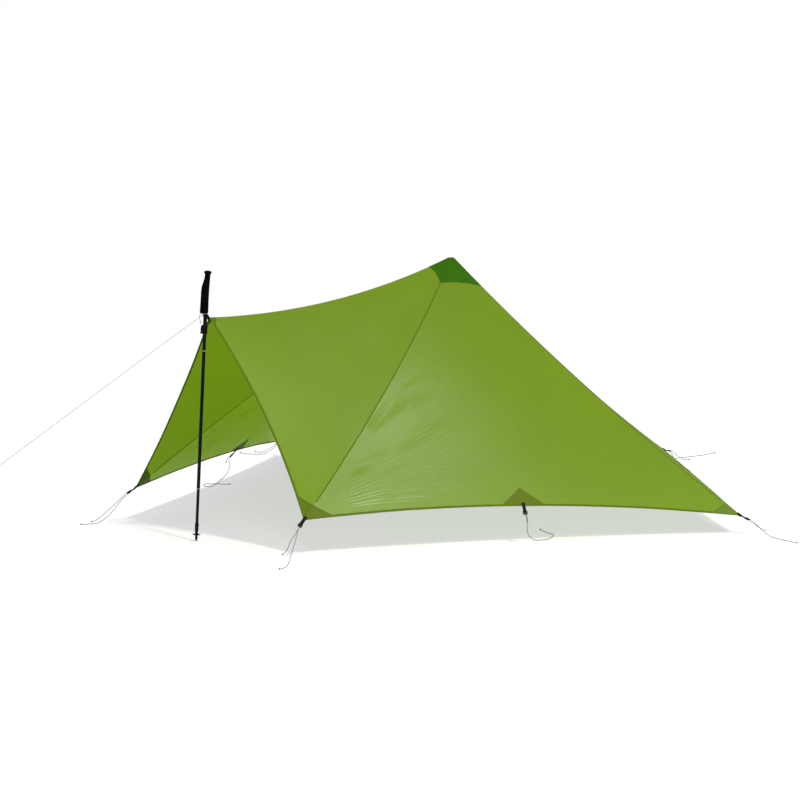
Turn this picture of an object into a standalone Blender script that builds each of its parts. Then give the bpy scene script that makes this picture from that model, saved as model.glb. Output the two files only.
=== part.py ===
"""Five-sided trekking pole shelter, pitched on two adjustable poles.

The front is -X and +Z is up. The origin is the point on the ground under the tip of the
centre pole. Every size is in metres. Its corners and seams mirror each other in the plane
y = 0, and the tie-out in the middle of its left edge lies further back than the right one.
"""

import math

import bmesh
import bpy
import numpy as np
from mathutils import Matrix, Vector

# Pitch of the canopy: where its ridges meet and where its corners hang
PEAK_HEIGHT = 1.222
SIDE_LENGTH = 2.10
RIDGE_LENGTH = 2.00
FRONT_SEAM_LENGTH = 1.965
DOOR_REACH = 1.577
DOOR_HEIGHT_SHARE = 0.8437
FRONT_CORNER_HEIGHT = 0.161
SIDE_CORNER_HEIGHT = 0.084
REAR_CORNER_HEIGHT = 0.070

# Cut of the cloth: how far each seam and hem is curved from its straight line
RIDGE_SAG = 0.039
FRONT_RIDGE_SAG = 0.067
FRONT_SEAM_LIFT = 0.043
FRONT_SEAM_DRIFT = 0.063
HEM_DEPTH = 0.071
DOOR_HEM_DEPTH = 0.0425
DOOR_HEM_BULGE = 0.010
PANEL_BELLY = 0.010
CLOTH_WALL = 0.0006
SEAM_GAP = 0.0008

DOOR_HEIGHT = PEAK_HEIGHT * DOOR_HEIGHT_SHARE

# Cap and patches, sewn over the panels
PEAK_HOLE = 0.028
TIP_DROP = 0.007
CAP_REACH = 0.228
CAP_FRONT_REACH = 0.165
CAP_EDGE_SHARE = 0.045
PATCH_SEAM_REACH = 0.096
PATCH_HEM_REACH = 0.150
PATCH_DOOR_REACH = 0.127
DOOR_PATCH_SEAM_REACH = 0.038
DOOR_PATCH_HEM_REACH = 0.060
PATCH_LIFT = 0.0012
CORNER_CUT = 0.003

# Webbing tabs and line-locks at the tie-outs
WEBBING_WIDTH = 0.0160
LOOP_WIDTH = 0.0125
WEBBING_WALL = 0.0012
TAB_LEG = 0.020
TAB_JOIN = 0.008
TAB_LENGTH = 0.030
LOCK_WIDTH = 0.0210
LOCK_WALL = 0.0046
LOCK_BAR = 0.0024
LOCK_WEBBING_SLOT = 0.0038
LOCK_BRIDGE = 0.0045
LOCK_CORD_SLOT = 0.0048
LOCK_CORD_SLOT_WIDTH = 0.008
LOCK_NOSE = 0.0034
LOCK_CORNER = 0.0025
CORNER_TAB_SLOPES_DEG = {"front": 28.0, "side": 18.0, "rear": 12.0}
EDGE_TAB_SLOPE_DEG = 45.0
LEFT_EDGE_SHARE = 0.41

# Adjustable poles: the front one stands above the door by the length of its grip and a little more
POLE_ABOVE_DOOR = 0.219
POLE_LEAN_DEG = 3.73
DOOR_POLE_SPACE = 0.022
PEAK_CLEARANCE = 0.0043
UPPER_RADIUS = 0.0090
TUBE_WALL = 0.0008
FIT_GAP = 0.0003
UPPER_TUBE_LENGTH = 0.240
MIDDLE_OVERLAP = 0.060
MIDDLE_END_SHARE = 0.192
LOWER_OVERLAP = 0.080
GRIP_LENGTH = 0.195
GRIP_DEPTH = 0.0195
GRIP_BREADTH = 0.0178
GRIP_LEAN = 0.0060
GRIP_COVER = 0.050

# Lever clamp at the end of the upper tube
CLAMP_HEIGHT = 0.040
CLAMP_WALL = 0.0030
CLAMP_LIP = 0.002
CLAMP_SPLIT = 0.0020
EAR_WALL = 0.0022
EAR_RADIUS = 0.0042
LEVER_WIDTH = 0.0090
LEVER_LENGTH = 0.037
LEVER_WALL = 0.0028
LEVER_BOW = 0.0038
LEVER_HEAD = 0.0040
PIN_RADIUS = 0.0014
PIN_STAND = 0.0175
PIN_RISE = 0.0065
PIN_HEAD = 0.0008

# Twist lock plug, tip and basket at the lower end
PLUG_LENGTH = 0.024
PLUG_STUD = 0.014
PLUG_SPLIT = 0.0016
TIP_LENGTH = 0.083
TIP_SLEEVE = 0.025
TIP_RADIUS = 0.0089
TIP_END_RADIUS = 0.0056
TIP_POINT = 0.007
POINT_RADIUS = 0.0022
BASKET_HEIGHT = 0.030
BASKET_RADIUS = 0.0185
BASKET_WALL = 0.0020
BASKET_HUB = 0.0070
BASKET_HUB_WALL = 0.0020
BASKET_HOLE = 0.0030
BASKET_HOLES = 6

# Cords
CORD_RADIUS = 0.0013
KNOT_RADIUS = 0.0027
GUYLINE_RADIUS = 0.0015

# Fineness of the meshes
ROUND_SIDES = 20
SMALL_SIDES = 10
PANEL_ROWS = 9
PANEL_COLUMNS = 8
PATCH_STEPS = 3
CAP_COLUMNS = 4
LONG_CORD_POINTS = 17
SHORT_CORD_POINTS = 9

# Grip sections from its top down: shares of its length, depth, breadth and lean
GRIP_SECTION_SHARES = (
    (0.000, 0.24, 0.26, 0.80),
    (0.007, 0.54, 0.59, 0.80),
    (0.020, 0.80, 0.87, 0.80),
    (0.034, 0.93, 1.01, 0.80),
    (0.046, 0.91, 0.99, 0.80),
    (0.062, 0.77, 0.83, 0.80),
    (0.100, 0.66, 0.70, 0.72),
    (0.170, 0.68, 0.72, 0.50),
    (0.270, 0.80, 0.82, -0.20),
    (0.370, 0.95, 0.94, -0.85),
    (0.470, 1.00, 0.99, -1.20),
    (0.700, 1.00, 1.00, -1.32),
    (0.960, 1.04, 1.04, -1.42),
    (1.000, 0.99, 0.98, -1.42),
)

# Tip outline below its sleeve: shares of its length and of its outer radius
TIP_OUTLINE_SHARES = ((1.00, 0.93), (0.93, 1.00), (0.62, 0.90), (0.46, 0.72))

# Routes of the cords, chosen by hand: from under the line-lock, and from over it
CORD_ROUTES = {
    "front_left": (
        ((-1.608, 0.628, 0.105), (-1.640, 0.640, 0.066), (-1.676, 0.652, 0.030),
         (-1.712, 0.669, 0.006), (-1.748, 0.687, 0.001), (-1.788, 0.705, 0.001)),
        ((-1.606, 0.646, 0.104), (-1.640, 0.678, 0.060), (-1.678, 0.712, 0.016),
         (-1.710, 0.722, 0.002)),
    ),
    "front_right": (
        ((-1.616, -0.638, 0.102), (-1.660, -0.664, 0.056), (-1.706, -0.694, 0.020),
         (-1.752, -0.730, 0.003), (-1.796, -0.758, 0.001), (-1.836, -0.772, 0.001)),
        ((-1.611, -0.627, 0.112), (-1.630, -0.616, 0.082), (-1.628, -0.598, 0.052),
         (-1.617, -0.565, 0.022), (-1.604, -0.531, 0.002)),
    ),
    "side_right": (
        ((0.312, -1.700, 0.046), (0.322, -1.730, 0.024), (0.325, -1.764, 0.005),
         (0.311, -1.821, 0.001), (0.296, -1.893, 0.001), (0.288, -1.955, 0.001)),
        ((0.310, -1.696, 0.054), (0.318, -1.716, 0.036), (0.331, -1.732, 0.026)),
    ),
    "rear": (
        ((1.714, 0.010, 0.034), (1.752, 0.034, 0.010), (1.797, 0.050, 0.001),
         (1.897, 0.038, 0.001), (1.990, 0.027, 0.001), (2.095, 0.032, 0.001)),
        ((1.712, 0.000, 0.048), (1.744, -0.008, 0.022), (1.776, -0.024, 0.006),
         (1.806, -0.030, 0.002)),
    ),
    "side_left": (
        ((0.300, 1.686, 0.040), (0.284, 1.714, 0.014), (0.256, 1.742, 0.001),
         (0.226, 1.770, 0.001), (0.210, 1.812, 0.001), (0.205, 1.857, 0.001)),
        ((0.303, 1.692, 0.050), (0.301, 1.728, 0.027), (0.297, 1.765, 0.010),
         (0.293, 1.796, 0.002), (0.290, 1.828, 0.002)),
    ),
    "right_edge": (
        ((-0.614, -1.100, 0.118), (-0.613, -1.103, 0.094), (-0.608, -1.100, 0.066),
         (-0.594, -1.094, 0.038), (-0.562, -1.088, 0.014), (-0.520, -1.086, 0.001),
         (-0.473, -1.096, 0.001), (-0.421, -1.079, 0.001), (-0.368, -1.040, 0.001),
         (-0.352, -0.992, 0.001), (-0.318, -0.912, 0.001)),
        ((-0.617, -1.106, 0.126), (-0.618, -1.110, 0.108)),
    ),
    "left_edge": (
        ((-0.452, 1.188, 0.108), (-0.452, 1.180, 0.078), (-0.489, 1.167, 0.040),
         (-0.552, 1.151, 0.012), (-0.603, 1.124, 0.004), (-0.643, 1.109, 0.001),
         (-0.656, 1.134, 0.001), (-0.634, 1.176, 0.001), (-0.601, 1.190, 0.001),
         (-0.575, 1.165, 0.001), (-0.548, 1.126, 0.001), (-0.526, 1.096, 0.001)),
        ((-0.454, 1.198, 0.116), (-0.456, 1.204, 0.100)),
    ),
}
GUYLINE_ROUTE = ((-2.010, 0.0, 0.852), (-2.420, 0.0, 0.648), (-2.830, 0.0, 0.444))

DOWN = Vector((0, 0, -1))
UP = Vector((0, 0, 1))
MIRROR = np.array((1, -1, 1))

parts = bpy.data.collections.new("trekking_pole_tent")
cutters = bpy.data.collections.new("cutters")


def clear_scene():
    for old in list(bpy.data.objects):
        bpy.data.objects.remove(old, do_unlink=True)
    for collection in (parts, cutters):
        bpy.context.scene.collection.children.link(collection)
    cutters.hide_render = True


def material(name, color, roughness, metallic=0.0):
    made = bpy.data.materials.new(name)
    made.use_nodes = True
    shader = made.node_tree.nodes["Principled BSDF"]
    shader.inputs["Base Color"].default_value = (*color, 1)
    shader.inputs["Roughness"].default_value = roughness
    shader.inputs["Metallic"].default_value = metallic
    return made


def unit(vector):
    return vector / np.linalg.norm(vector)


def across(start, end, toward):
    """Unit direction square to the line from start to end, on the side of the point toward."""
    along = unit(end - start)
    reach = toward - start
    return unit(reach - along * (reach @ along))


def sag_direction(start, end):
    along = unit(end - start)
    down = np.array(DOWN)
    return unit(down - along * (down @ along))


def bowed(start, end, offset):
    """A shallow curve between two points, as a function of the share t of its length."""
    return lambda t: start + (end - start) * t + offset * (4 * t * (1 - t))


def on_circle(radius, angle, height):
    return np.array((radius * math.cos(angle), -radius * math.sin(angle), height))


def angle_between(radius_a, height_a, radius_b, height_b, distance):
    """Angle at the peak's axis between two corners that lie this far apart."""
    rise = height_a - height_b
    cosine = (radius_a**2 + radius_b**2 + rise**2 - distance**2) / (2 * radius_a * radius_b)
    return math.acos(cosine)


def corner_points():
    reach = lambda length, height: math.sqrt(length**2 - (PEAK_HEIGHT - height) ** 2)
    rear = reach(RIDGE_LENGTH, REAR_CORNER_HEIGHT)
    side = reach(RIDGE_LENGTH, SIDE_CORNER_HEIGHT)
    front = reach(FRONT_SEAM_LENGTH, FRONT_CORNER_HEIGHT)
    turn = angle_between(rear, REAR_CORNER_HEIGHT, side, SIDE_CORNER_HEIGHT, SIDE_LENGTH)
    points = {
        "peak": np.array((0, 0, PEAK_HEIGHT)),
        "rear": on_circle(rear, 0, REAR_CORNER_HEIGHT),
        "side_right": on_circle(side, turn, SIDE_CORNER_HEIGHT),
        "door": np.array((-DOOR_REACH, 0, DOOR_HEIGHT)),
    }
    turn += angle_between(side, SIDE_CORNER_HEIGHT, front, FRONT_CORNER_HEIGHT, SIDE_LENGTH)
    points["front_right"] = on_circle(front, turn, FRONT_CORNER_HEIGHT)
    points["side_left"] = points["side_right"] * MIRROR
    points["front_left"] = points["front_right"] * MIRROR
    return points


CORNERS = corner_points()


def seam_curves():
    peak = CORNERS["peak"]
    seams = {}
    for name in ("side_right", "rear", "side_left"):
        seams[name] = bowed(peak, CORNERS[name], sag_direction(peak, CORNERS[name]) * RIDGE_SAG)
    door = CORNERS["door"]
    seams["door"] = bowed(peak, door, sag_direction(peak, door) * FRONT_RIDGE_SAG)
    for name, side in (("front_right", "side_right"), ("front_left", "side_left")):
        corner = CORNERS[name]
        drift = across(peak, corner, CORNERS[side]) * FRONT_SEAM_DRIFT
        lift = sag_direction(peak, corner) * FRONT_SEAM_LIFT
        seams[name] = bowed(peak, corner, drift - lift)
    return seams


SEAMS = seam_curves()


def plane_normal(left, right):
    """Outward unit normal of the flat triangle from the peak to two corners."""
    peak = CORNERS["peak"]
    normal = unit(np.cross(CORNERS[left] - peak, CORNERS[right] - peak))
    return normal if normal[2] > 0 else -normal


def hem_offset(left, right):
    """How far the middle of a hem is cut back towards the peak."""
    start, end = CORNERS[left], CORNERS[right]
    inward = across(start, end, CORNERS["peak"])
    if "door" in (left, right):
        return inward * DOOR_HEM_DEPTH + plane_normal(left, right) * DOOR_HEM_BULGE
    return inward * HEM_DEPTH


def cloth(left, right):
    """The surface between two seams: u runs from left to right and v from the peak to the hem."""
    belly = plane_normal(left, right) * PANEL_BELLY
    hem = hem_offset(left, right)

    def point(u, v):
        start, end = SEAMS[left](v), SEAMS[right](v)
        dome = 4 * u * (1 - u)
        return start + (end - start) * u + dome * (v * v * hem + 4 * v * (1 - v) * belly)

    return point


def seam_width(left, right, v):
    return np.linalg.norm(SEAMS[left](v) - SEAMS[right](v))


def top_share():
    """Share of a seam's length that the hole at the peak takes."""
    return PEAK_HOLE / np.linalg.norm(CORNERS["side_right"][:2])


PANELS = {
    "front_panel": ("front_left", "door", "front_right"),
    "right_panel": ("front_right", "side_right"),
    "rear_right_panel": ("side_right", "rear"),
    "rear_left_panel": ("rear", "side_left"),
    "left_panel": ("side_left", "front_left"),
}


def panel_rows():
    top = top_share()
    return [top + (1 - top) * row / PANEL_ROWS for row in range(PANEL_ROWS + 1)]


def columns_between(left, right):
    return PANEL_COLUMNS // 2 if "door" in (left, right) else PANEL_COLUMNS


def facet(left, right, u, v):
    """The flat facet of a panel that holds this place: its three points and the place's weights."""
    surface = cloth(left, right)
    rows = [0, *panel_rows()]
    columns = columns_between(left, right)
    i = max(k for k, row in enumerate(rows[:-1]) if row <= v)
    j = min(int(u * columns), columns - 1)
    down = (v - rows[i]) / (rows[i + 1] - rows[i])
    aside = u * columns - j
    near, far = (j, j + 1)
    if j >= columns / 2:
        near, far, aside = far, near, 1 - aside
    at = lambda column, row: surface(column / columns, rows[row])
    if down >= aside:
        return (at(near, i), at(near, i + 1), at(far, i + 1)), (1 - down, down - aside, aside)
    return (at(near, i), at(far, i), at(far, i + 1)), (1 - aside, aside - down, down)


def on_facets(corner, other, u, v):
    """A place on a panel's facets and their normal there, with u counted from either corner."""
    forward = any((corner, other) in zip(seams, seams[1:]) for seams in PANELS.values())
    left, right, u = (corner, other, u) if forward else (other, corner, 1 - u)
    points, weights = facet(left, right, u, v)
    normal = np.cross(points[1] - points[0], points[2] - points[0])
    normal = normal * math.copysign(1, normal[2]) / max(np.linalg.norm(normal), FIT_GAP**3)
    return sum(point * weight for point, weight in zip(points, weights)), normal


def mitred(*normals):
    """The offset that is one unit off each of the surfaces with these normals."""
    total = sum(normals)
    return total * len(normals) / (total @ total)


def place(name, data, collection=parts, look=None, matrix=None):
    made = bpy.data.objects.new(name, data)
    collection.objects.link(made)
    if matrix is not None:
        made.matrix_world = matrix
    if look is not None:
        data.materials.append(look)
    if collection is cutters:
        made.hide_render = True
        made.display_type = "WIRE"
    return made


def grid_mesh(name, rows, columns):
    """An open surface through rows of points, whose diagonals mirror within each run of columns."""
    mesh = bpy.data.meshes.new(name)
    made = bmesh.new()
    points = [[made.verts.new(point) for point in row] for row in rows]
    for upper, lower in zip(points, points[1:]):
        for i in range(len(upper) - 1):
            near, far = (i, i + 1) if i % columns < columns / 2 else (i + 1, i)
            made.faces.new((upper[near], lower[near], lower[far]))
            made.faces.new((upper[near], lower[far], upper[far]))
    bmesh.ops.remove_doubles(made, verts=made.verts, dist=FIT_GAP / ROUND_SIDES)
    bmesh.ops.dissolve_degenerate(made, edges=made.edges, dist=FIT_GAP / ROUND_SIDES)
    bmesh.ops.recalc_face_normals(made, faces=made.faces)
    if sum(face.normal.z for face in made.faces) < 0:
        bmesh.ops.reverse_faces(made, faces=made.faces)
    made.to_mesh(mesh)
    made.free()
    mesh.shade_smooth()
    return mesh


def sheet(name, rows, columns, look):
    made = place(name, grid_mesh(name, rows, columns), look=look)
    solid = made.modifiers.new("wall", "SOLIDIFY")
    solid.thickness = CLOTH_WALL
    solid.offset = 0
    solid.use_even_offset = True
    return made


def panel_row(seams, v):
    """Places across a panel of one or more triangles, kept half a seam gap inside its edges."""
    found = []
    last = len(seams) - 2
    for i, (left, right) in enumerate(zip(seams, seams[1:])):
        columns = columns_between(left, right)
        inset = SEAM_GAP / (2 * seam_width(left, right, v))
        low = inset if i == 0 else 0
        high = 1 - inset if i == last else 1
        surface = cloth(left, right)
        first = 0 if i == 0 else 1
        found += [surface(low + (high - low) * k / columns, v) for k in range(first, columns + 1)]
    return found


def build_panels(look):
    for name, seams in PANELS.items():
        columns = columns_between(*seams[:2])
        sheet(name, [panel_row(seams, v) for v in panel_rows()], columns, look)


RING = ("door", "front_right", "side_right", "rear", "side_left", "front_left")


def cap_share(seam):
    reach = CAP_FRONT_REACH if seam == "door" else CAP_REACH
    return reach / np.linalg.norm(CORNERS[seam] - CORNERS["peak"])


def cap_point(k, step, ring):
    """A point of the cap: rings 0 to 1 round its tip, and 1 to 2 follow the panels to its edge."""
    left, right, before = RING[k], RING[(k + 1) % len(RING)], RING[k - 1]
    u = step / CAP_COLUMNS
    top = top_share()
    reach = cap_share(left) * (1 - u) + cap_share(right) * u
    edge = reach * (1 - CAP_EDGE_SHARE * 4 * u * (1 - u))
    v = top + (edge - top) * max(0, ring - 1)
    low = (top + panel_rows()[1]) / 2
    normal = on_facets(left, right, u, low)[1]
    offset = normal if step else mitred(normal, on_facets(left, before, 0, low)[1])
    nearness = max(0, 1 - ring)
    rim = on_facets(left, right, u, v)[0] + offset * PATCH_LIFT
    tip = CORNERS["peak"] - np.array(UP) * TIP_DROP
    point = rim + (tip - rim) * nearness
    point[2] = tip[2] + (rim[2] - tip[2]) * (1 - nearness) ** 2
    return point


def build_cap(look):
    rows = []
    for ring in (0, 1 / 3, 2 / 3, 1, 1.5, 2):
        row = [cap_point(k, step, ring) for k in range(len(RING)) for step in range(CAP_COLUMNS)]
        rows.append([*row, row[0]])
    return sheet("peak_cap", rows, CAP_COLUMNS, look)


PATCHES = {
    "door": ("front_left", "front_right"),
    "front_right": ("door", "side_right"),
    "side_right": ("front_right", "rear"),
    "rear": ("side_right", "side_left"),
    "side_left": ("rear", "front_left"),
    "front_left": ("side_left", "door"),
}


def patch_reaches(corner, other):
    """How far a corner's patch reaches up its seam, and along the hem towards another corner."""
    if corner == "door":
        return DOOR_PATCH_SEAM_REACH, DOOR_PATCH_HEM_REACH
    return PATCH_SEAM_REACH, PATCH_DOOR_REACH if other == "door" else PATCH_HEM_REACH


def patch_side(corner, other, share, fold):
    """One side of a patch's row, from the seam to the hem; fold is its offset over the seam."""
    seam_length = np.linalg.norm(CORNERS[corner] - CORNERS["peak"])
    hem_length = np.linalg.norm(CORNERS[corner] - CORNERS[other])
    up_seam, along_hem = (reach * share for reach in patch_reaches(corner, other))
    side = []
    for k in range(PATCH_STEPS + 1):
        a = k / PATCH_STEPS
        v = 1 - (up_seam * (1 - a) + CORNER_CUT) / seam_length
        point, normal = on_facets(corner, other, along_hem * a / hem_length, v)
        side.append(point + PATCH_LIFT * (normal if k else fold))
    return side


def seam_normals(corner):
    """Normals of the two facets that meet at a corner's seam."""
    left, right = PATCHES[corner]
    inset = 0.5 / PANEL_COLUMNS**2
    return [on_facets(corner, other, inset, 1 - 2 * inset)[1] for other in (left, right)]


def build_patches(look):
    out_shares = (0.12, 0.56, 1.0)
    for corner, (left, right) in PATCHES.items():
        fold = mitred(*seam_normals(corner))
        rows = []
        for share in out_shares:
            before = patch_side(corner, left, share, fold)
            after = patch_side(corner, right, share, fold)
            rows.append([*reversed(before), *after[1:]])
        sheet(f"{corner}_patch", rows, PATCH_STEPS, look)


def arc(center, radius, start_deg, end_deg, steps):
    angles = [math.radians(start_deg + (end_deg - start_deg) * k / steps) for k in range(steps + 1)]
    return [(center[0] + radius * math.cos(a), center[1] + radius * math.sin(a)) for a in angles]


def circle(center, radius, sides=SMALL_SIDES):
    return arc(center, radius, 0, 360, sides)[:-1]


def rounded_box(low, high, radius, steps=2):
    """Corners of a rectangle, each rounded by this radius."""
    centers = (
        (high[0] - radius, high[1] - radius),
        (low[0] + radius, high[1] - radius),
        (low[0] + radius, low[1] + radius),
        (high[0] - radius, low[1] + radius),
    )
    found = []
    for quarter, center in enumerate(centers):
        found += arc(center, radius, 90 * quarter, 90 * quarter + 90, steps)
    return found


def plate(name, outlines, thickness, look=None, matrix=None, collection=parts):
    """A flat piece: outlines in its own x and y, the first one outside and the others holes."""
    curve = bpy.data.curves.new(name, "CURVE")
    curve.dimensions = "2D"
    curve.fill_mode = "BOTH"
    curve.extrude = thickness / 2
    for outline in outlines:
        spline = curve.splines.new("POLY")
        spline.points.add(len(outline) - 1)
        for point, place_ in zip(spline.points, outline):
            point.co = (*place_, 0, 1)
        spline.use_cyclic_u = True
    return place(name, curve, collection=collection, look=look, matrix=matrix)


def axes_matrix(origin, x_axis, y_axis, z_axis):
    columns = Matrix((x_axis, y_axis, z_axis)).transposed()
    return Matrix.Translation(origin) @ columns.to_4x4()


def side_heights(normals, across_axis, leg_up):
    """How far the cloth stands above and hangs below the fold at the webbing's edges."""
    half = WEBBING_WIDTH / 2
    heights = [0]
    for normal, side in zip(normals, (1, -1)):
        heights.append(-side * half * (normal @ across_axis) / (normal @ leg_up))
    return max(heights), -min(heights)


def tab_outline(turn, above, below):
    """Side view of a webbing tab: two legs astride the cloth, a strap, and a loop for the bar."""
    inward = np.array((-1, 0))
    leg_up = np.array((0, 1))
    outward = np.array((math.cos(turn), -math.sin(turn)))
    tab_up = np.array((math.sin(turn), math.cos(turn)))
    miter = (leg_up + tab_up) / (1 + leg_up @ tab_up)
    wall = WEBBING_WALL
    center = outward * TAB_LENGTH
    hole = bar_hole_radius()
    loop = hole + wall
    meet = math.degrees(math.asin(wall / loop))
    round_end = arc((0, 0), loop, 180 - meet, meet - 180, SMALL_SIDES)
    outline = [inward * TAB_LEG + leg_up * (above + wall), miter * (above + wall)]
    outline.append(outward * TAB_JOIN + tab_up * wall)
    outline += [center + outward * x + tab_up * y for x, y in round_end]
    outline.append(outward * TAB_JOIN - tab_up * wall)
    outline += [-miter * (below + wall), inward * TAB_LEG - leg_up * (below + wall)]
    outline += [inward * TAB_LEG - leg_up * below, -miter * below]
    outline += [outward * (TAB_JOIN - wall), miter * above, inward * TAB_LEG + leg_up * above]
    bore = [center + outward * x + tab_up * y for x, y in circle((0, 0), hole)]
    return [[tuple(point) for point in outline], [tuple(point) for point in bore]]


def bar_hole_radius():
    return math.hypot(LOCK_BAR / 2, LOCK_WALL / 2) + 1.5 * FIT_GAP


def lock_outlines():
    """Top view of a line-lock, with its webbing bar's middle at x = 0."""
    half = LOCK_WIDTH / 2
    start = -LOCK_BAR / 2
    webbing_slot = LOCK_BAR / 2 + LOCK_WEBBING_SLOT
    cord_slot = webbing_slot + LOCK_BRIDGE
    slot_end = cord_slot + LOCK_CORD_SLOT
    half_slot = WEBBING_WIDTH / 2 + 2 * FIT_GAP
    corner = LOCK_BAR / 4
    half_cord_slot = LOCK_CORD_SLOT_WIDTH / 2
    return [
        rounded_box((start, -half), (slot_end + LOCK_NOSE, half), LOCK_CORNER),
        rounded_box((LOCK_BAR / 2, -half_slot), (webbing_slot, half_slot), corner, 1),
        rounded_box((cord_slot, -half_cord_slot), (slot_end, half_cord_slot), LOCK_BAR / 2, 1),
    ]


def fold_frame(point, inner, normals, tab_slope_deg):
    """A tie-out's frame: x down along the fold of the cloth, y out of it, and the tab's turn."""
    outward = unit(point - inner)
    above = unit(sum(normals))
    turn = math.radians(tab_slope_deg) - math.asin(-outward[2])
    return point, outward, above, turn, normals


def tie_out_frames():
    frames = {}
    last_row = panel_rows()[-2]
    for corner in ("front_right", "side_right", "rear", "side_left", "front_left"):
        point, inner = SEAMS[corner](1), SEAMS[corner](last_row)
        slope = CORNER_TAB_SLOPES_DEG[corner.split("_")[0]]
        frames[corner] = fold_frame(point, inner, seam_normals(corner), slope)
    edges = {
        "right_edge": ("right_panel", 0.5),
        "rear_right_edge": ("rear_right_panel", 0.5),
        "rear_left_edge": ("rear_left_panel", 0.5),
        "left_edge": ("left_panel", LEFT_EDGE_SHARE),
    }
    aside = 0.1 / PANEL_COLUMNS
    for name, (panel_name, share) in edges.items():
        seams = PANELS[panel_name]
        point, inner = (on_facets(*seams, share, v)[0] for v in (1, (1 + last_row) / 2))
        normals = [on_facets(*seams, share - side * aside, 1 - 2 * aside)[1] for side in (1, -1)]
        frames[name] = fold_frame(point, inner, normals, EDGE_TAB_SLOPE_DEG)
    return frames


TIE_OUTS = tie_out_frames()


def lock_matrix(name):
    """Frame of a line-lock: x outward along the tab, z out of its upper face."""
    point, outward, above, turn, _ = TIE_OUTS[name]
    along = outward * math.cos(turn) - above * math.sin(turn)
    up = outward * math.sin(turn) + above * math.cos(turn)
    return axes_matrix(point + along * TAB_LENGTH, along, np.cross(up, along), up)


def build_tie_outs(webbing, plastic):
    clear = CLOTH_WALL / 2 + 2 * FIT_GAP
    for name, (point, outward, leg_up, turn, normals) in TIE_OUTS.items():
        across_axis = np.cross(outward, leg_up)
        above, below = side_heights(normals, across_axis, leg_up)
        patch = PATCH_LIFT / min(normal @ leg_up for normal in normals) if name in CORNERS else 0
        outlines = tab_outline(turn, above + clear + patch, below + clear)
        frame = axes_matrix(point, outward, leg_up, across_axis)
        plate(f"{name}_tab", outlines, WEBBING_WIDTH, webbing, frame)
        plate(f"{name}_line_lock", lock_outlines(), LOCK_WALL, plastic, lock_matrix(name))


def smooth_route(points, count):
    """Evenly spaced points on a smooth curve through the route's own points."""
    route = [Vector(point) for point in points]
    route = [route[0] * 2 - route[1], *route, route[-1] * 2 - route[-2]]
    fine = []
    steps = 16
    for before, start, end, after in zip(route, route[1:], route[2:], route[3:]):
        for k in range(steps):
            t = k / steps
            square = before * 2 - start * 5 + end * 4 - after
            cube = start * 3 - before - end * 3 + after
            fine.append(start + ((end - before) * t + square * t**2 + cube * t**3) / 2)
    fine.append(route[-2])
    lengths = [0]
    for start, end in zip(fine, fine[1:]):
        lengths.append(lengths[-1] + (end - start).length)
    found = []
    for k in range(count):
        target = lengths[-1] * k / (count - 1)
        i = min(max(j for j, length in enumerate(lengths) if length <= target), len(fine) - 2)
        share = (target - lengths[i]) / (lengths[i + 1] - lengths[i])
        found.append(fine[i].lerp(fine[i + 1], share))
    return found


def cord(name, points, radius, knots, look):
    """A tube through these points, above the ground, and as thick as a knot at those in knots."""
    curve = bpy.data.curves.new(name, "CURVE")
    curve.dimensions = "3D"
    curve.bevel_depth = radius
    curve.bevel_resolution = 2
    curve.use_fill_caps = True
    spline = curve.splines.new("POLY")
    spline.points.add(len(points) - 1)
    for i, point in enumerate(points):
        thick = KNOT_RADIUS if i in knots else radius
        spline.points[i].co = (point[0], point[1], max(point[2], thick + FIT_GAP), 1)
        spline.points[i].radius = thick / radius
    return place(name, curve, look=look)


def knotted(route):
    """The route with two more points close to its far end, for the knot there."""
    end = route[-1]
    along = (end - route[-2]).normalized()
    start = end - along * 2 * KNOT_RADIUS
    return [*route[:-1], start, start + along * KNOT_RADIUS, end + along * KNOT_RADIUS]


def lock_pass(name):
    """How a cord goes round the line-lock's nose: over it, down the slot and back under it."""
    frame = lock_matrix(name)
    slot_start = LOCK_BAR / 2 + LOCK_WEBBING_SLOT + LOCK_BRIDGE
    nose = slot_start + LOCK_CORD_SLOT + LOCK_NOSE
    clear = LOCK_WALL / 2 + CORD_RADIUS + FIT_GAP
    middle = slot_start + LOCK_CORD_SLOT / 2
    places = ((nose + 2 * CORD_RADIUS, clear), (middle + CORD_RADIUS, clear), (middle, 0))
    places += ((middle + CORD_RADIUS, -clear), (nose + 2 * CORD_RADIUS, -clear))
    return [frame @ Vector((x, 0, z)) for x, z in places]


def build_cords(look, guy_look):
    for name, (upper, lower) in CORD_ROUTES.items():
        through = lock_pass(name)
        long_run = knotted(smooth_route([through[-1], *upper], LONG_CORD_POINTS)[1:])
        count = SHORT_CORD_POINTS if len(lower) > 2 else 3
        short_run = knotted(smooth_route([through[0], *lower], count)[1:])
        route = [*reversed(short_run), *through, *long_run]
        last = len(route) - 1
        cord(f"{name}_cord", route, CORD_RADIUS, (0, 1, last - 1, last), look)
    line = [*hitch_points(), *map(Vector, GUYLINE_ROUTE)]
    cord("front_guyline", line, GUYLINE_RADIUS, (len(line) - 1,), guy_look)


def turned(name, outline, look=None, matrix=None, sides=ROUND_SIDES, collection=parts):
    """A closed outline of (radius, height) points turned round the local z axis."""
    mesh = bpy.data.meshes.new(name)
    made = bmesh.new()
    verts = [made.verts.new((radius, 0, height)) for radius, height in outline]
    for start, end in zip(verts, verts[1:] + verts[:1]):
        made.edges.new((start, end))
    made.to_mesh(mesh)
    made.free()
    piece = place(name, mesh, collection=collection, look=look, matrix=matrix)
    screw = piece.modifiers.new("turn", "SCREW")
    screw.steps = sides
    screw.render_steps = sides
    screw.use_merge_vertices = True
    screw.merge_threshold = FIT_GAP / sides
    return piece


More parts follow.
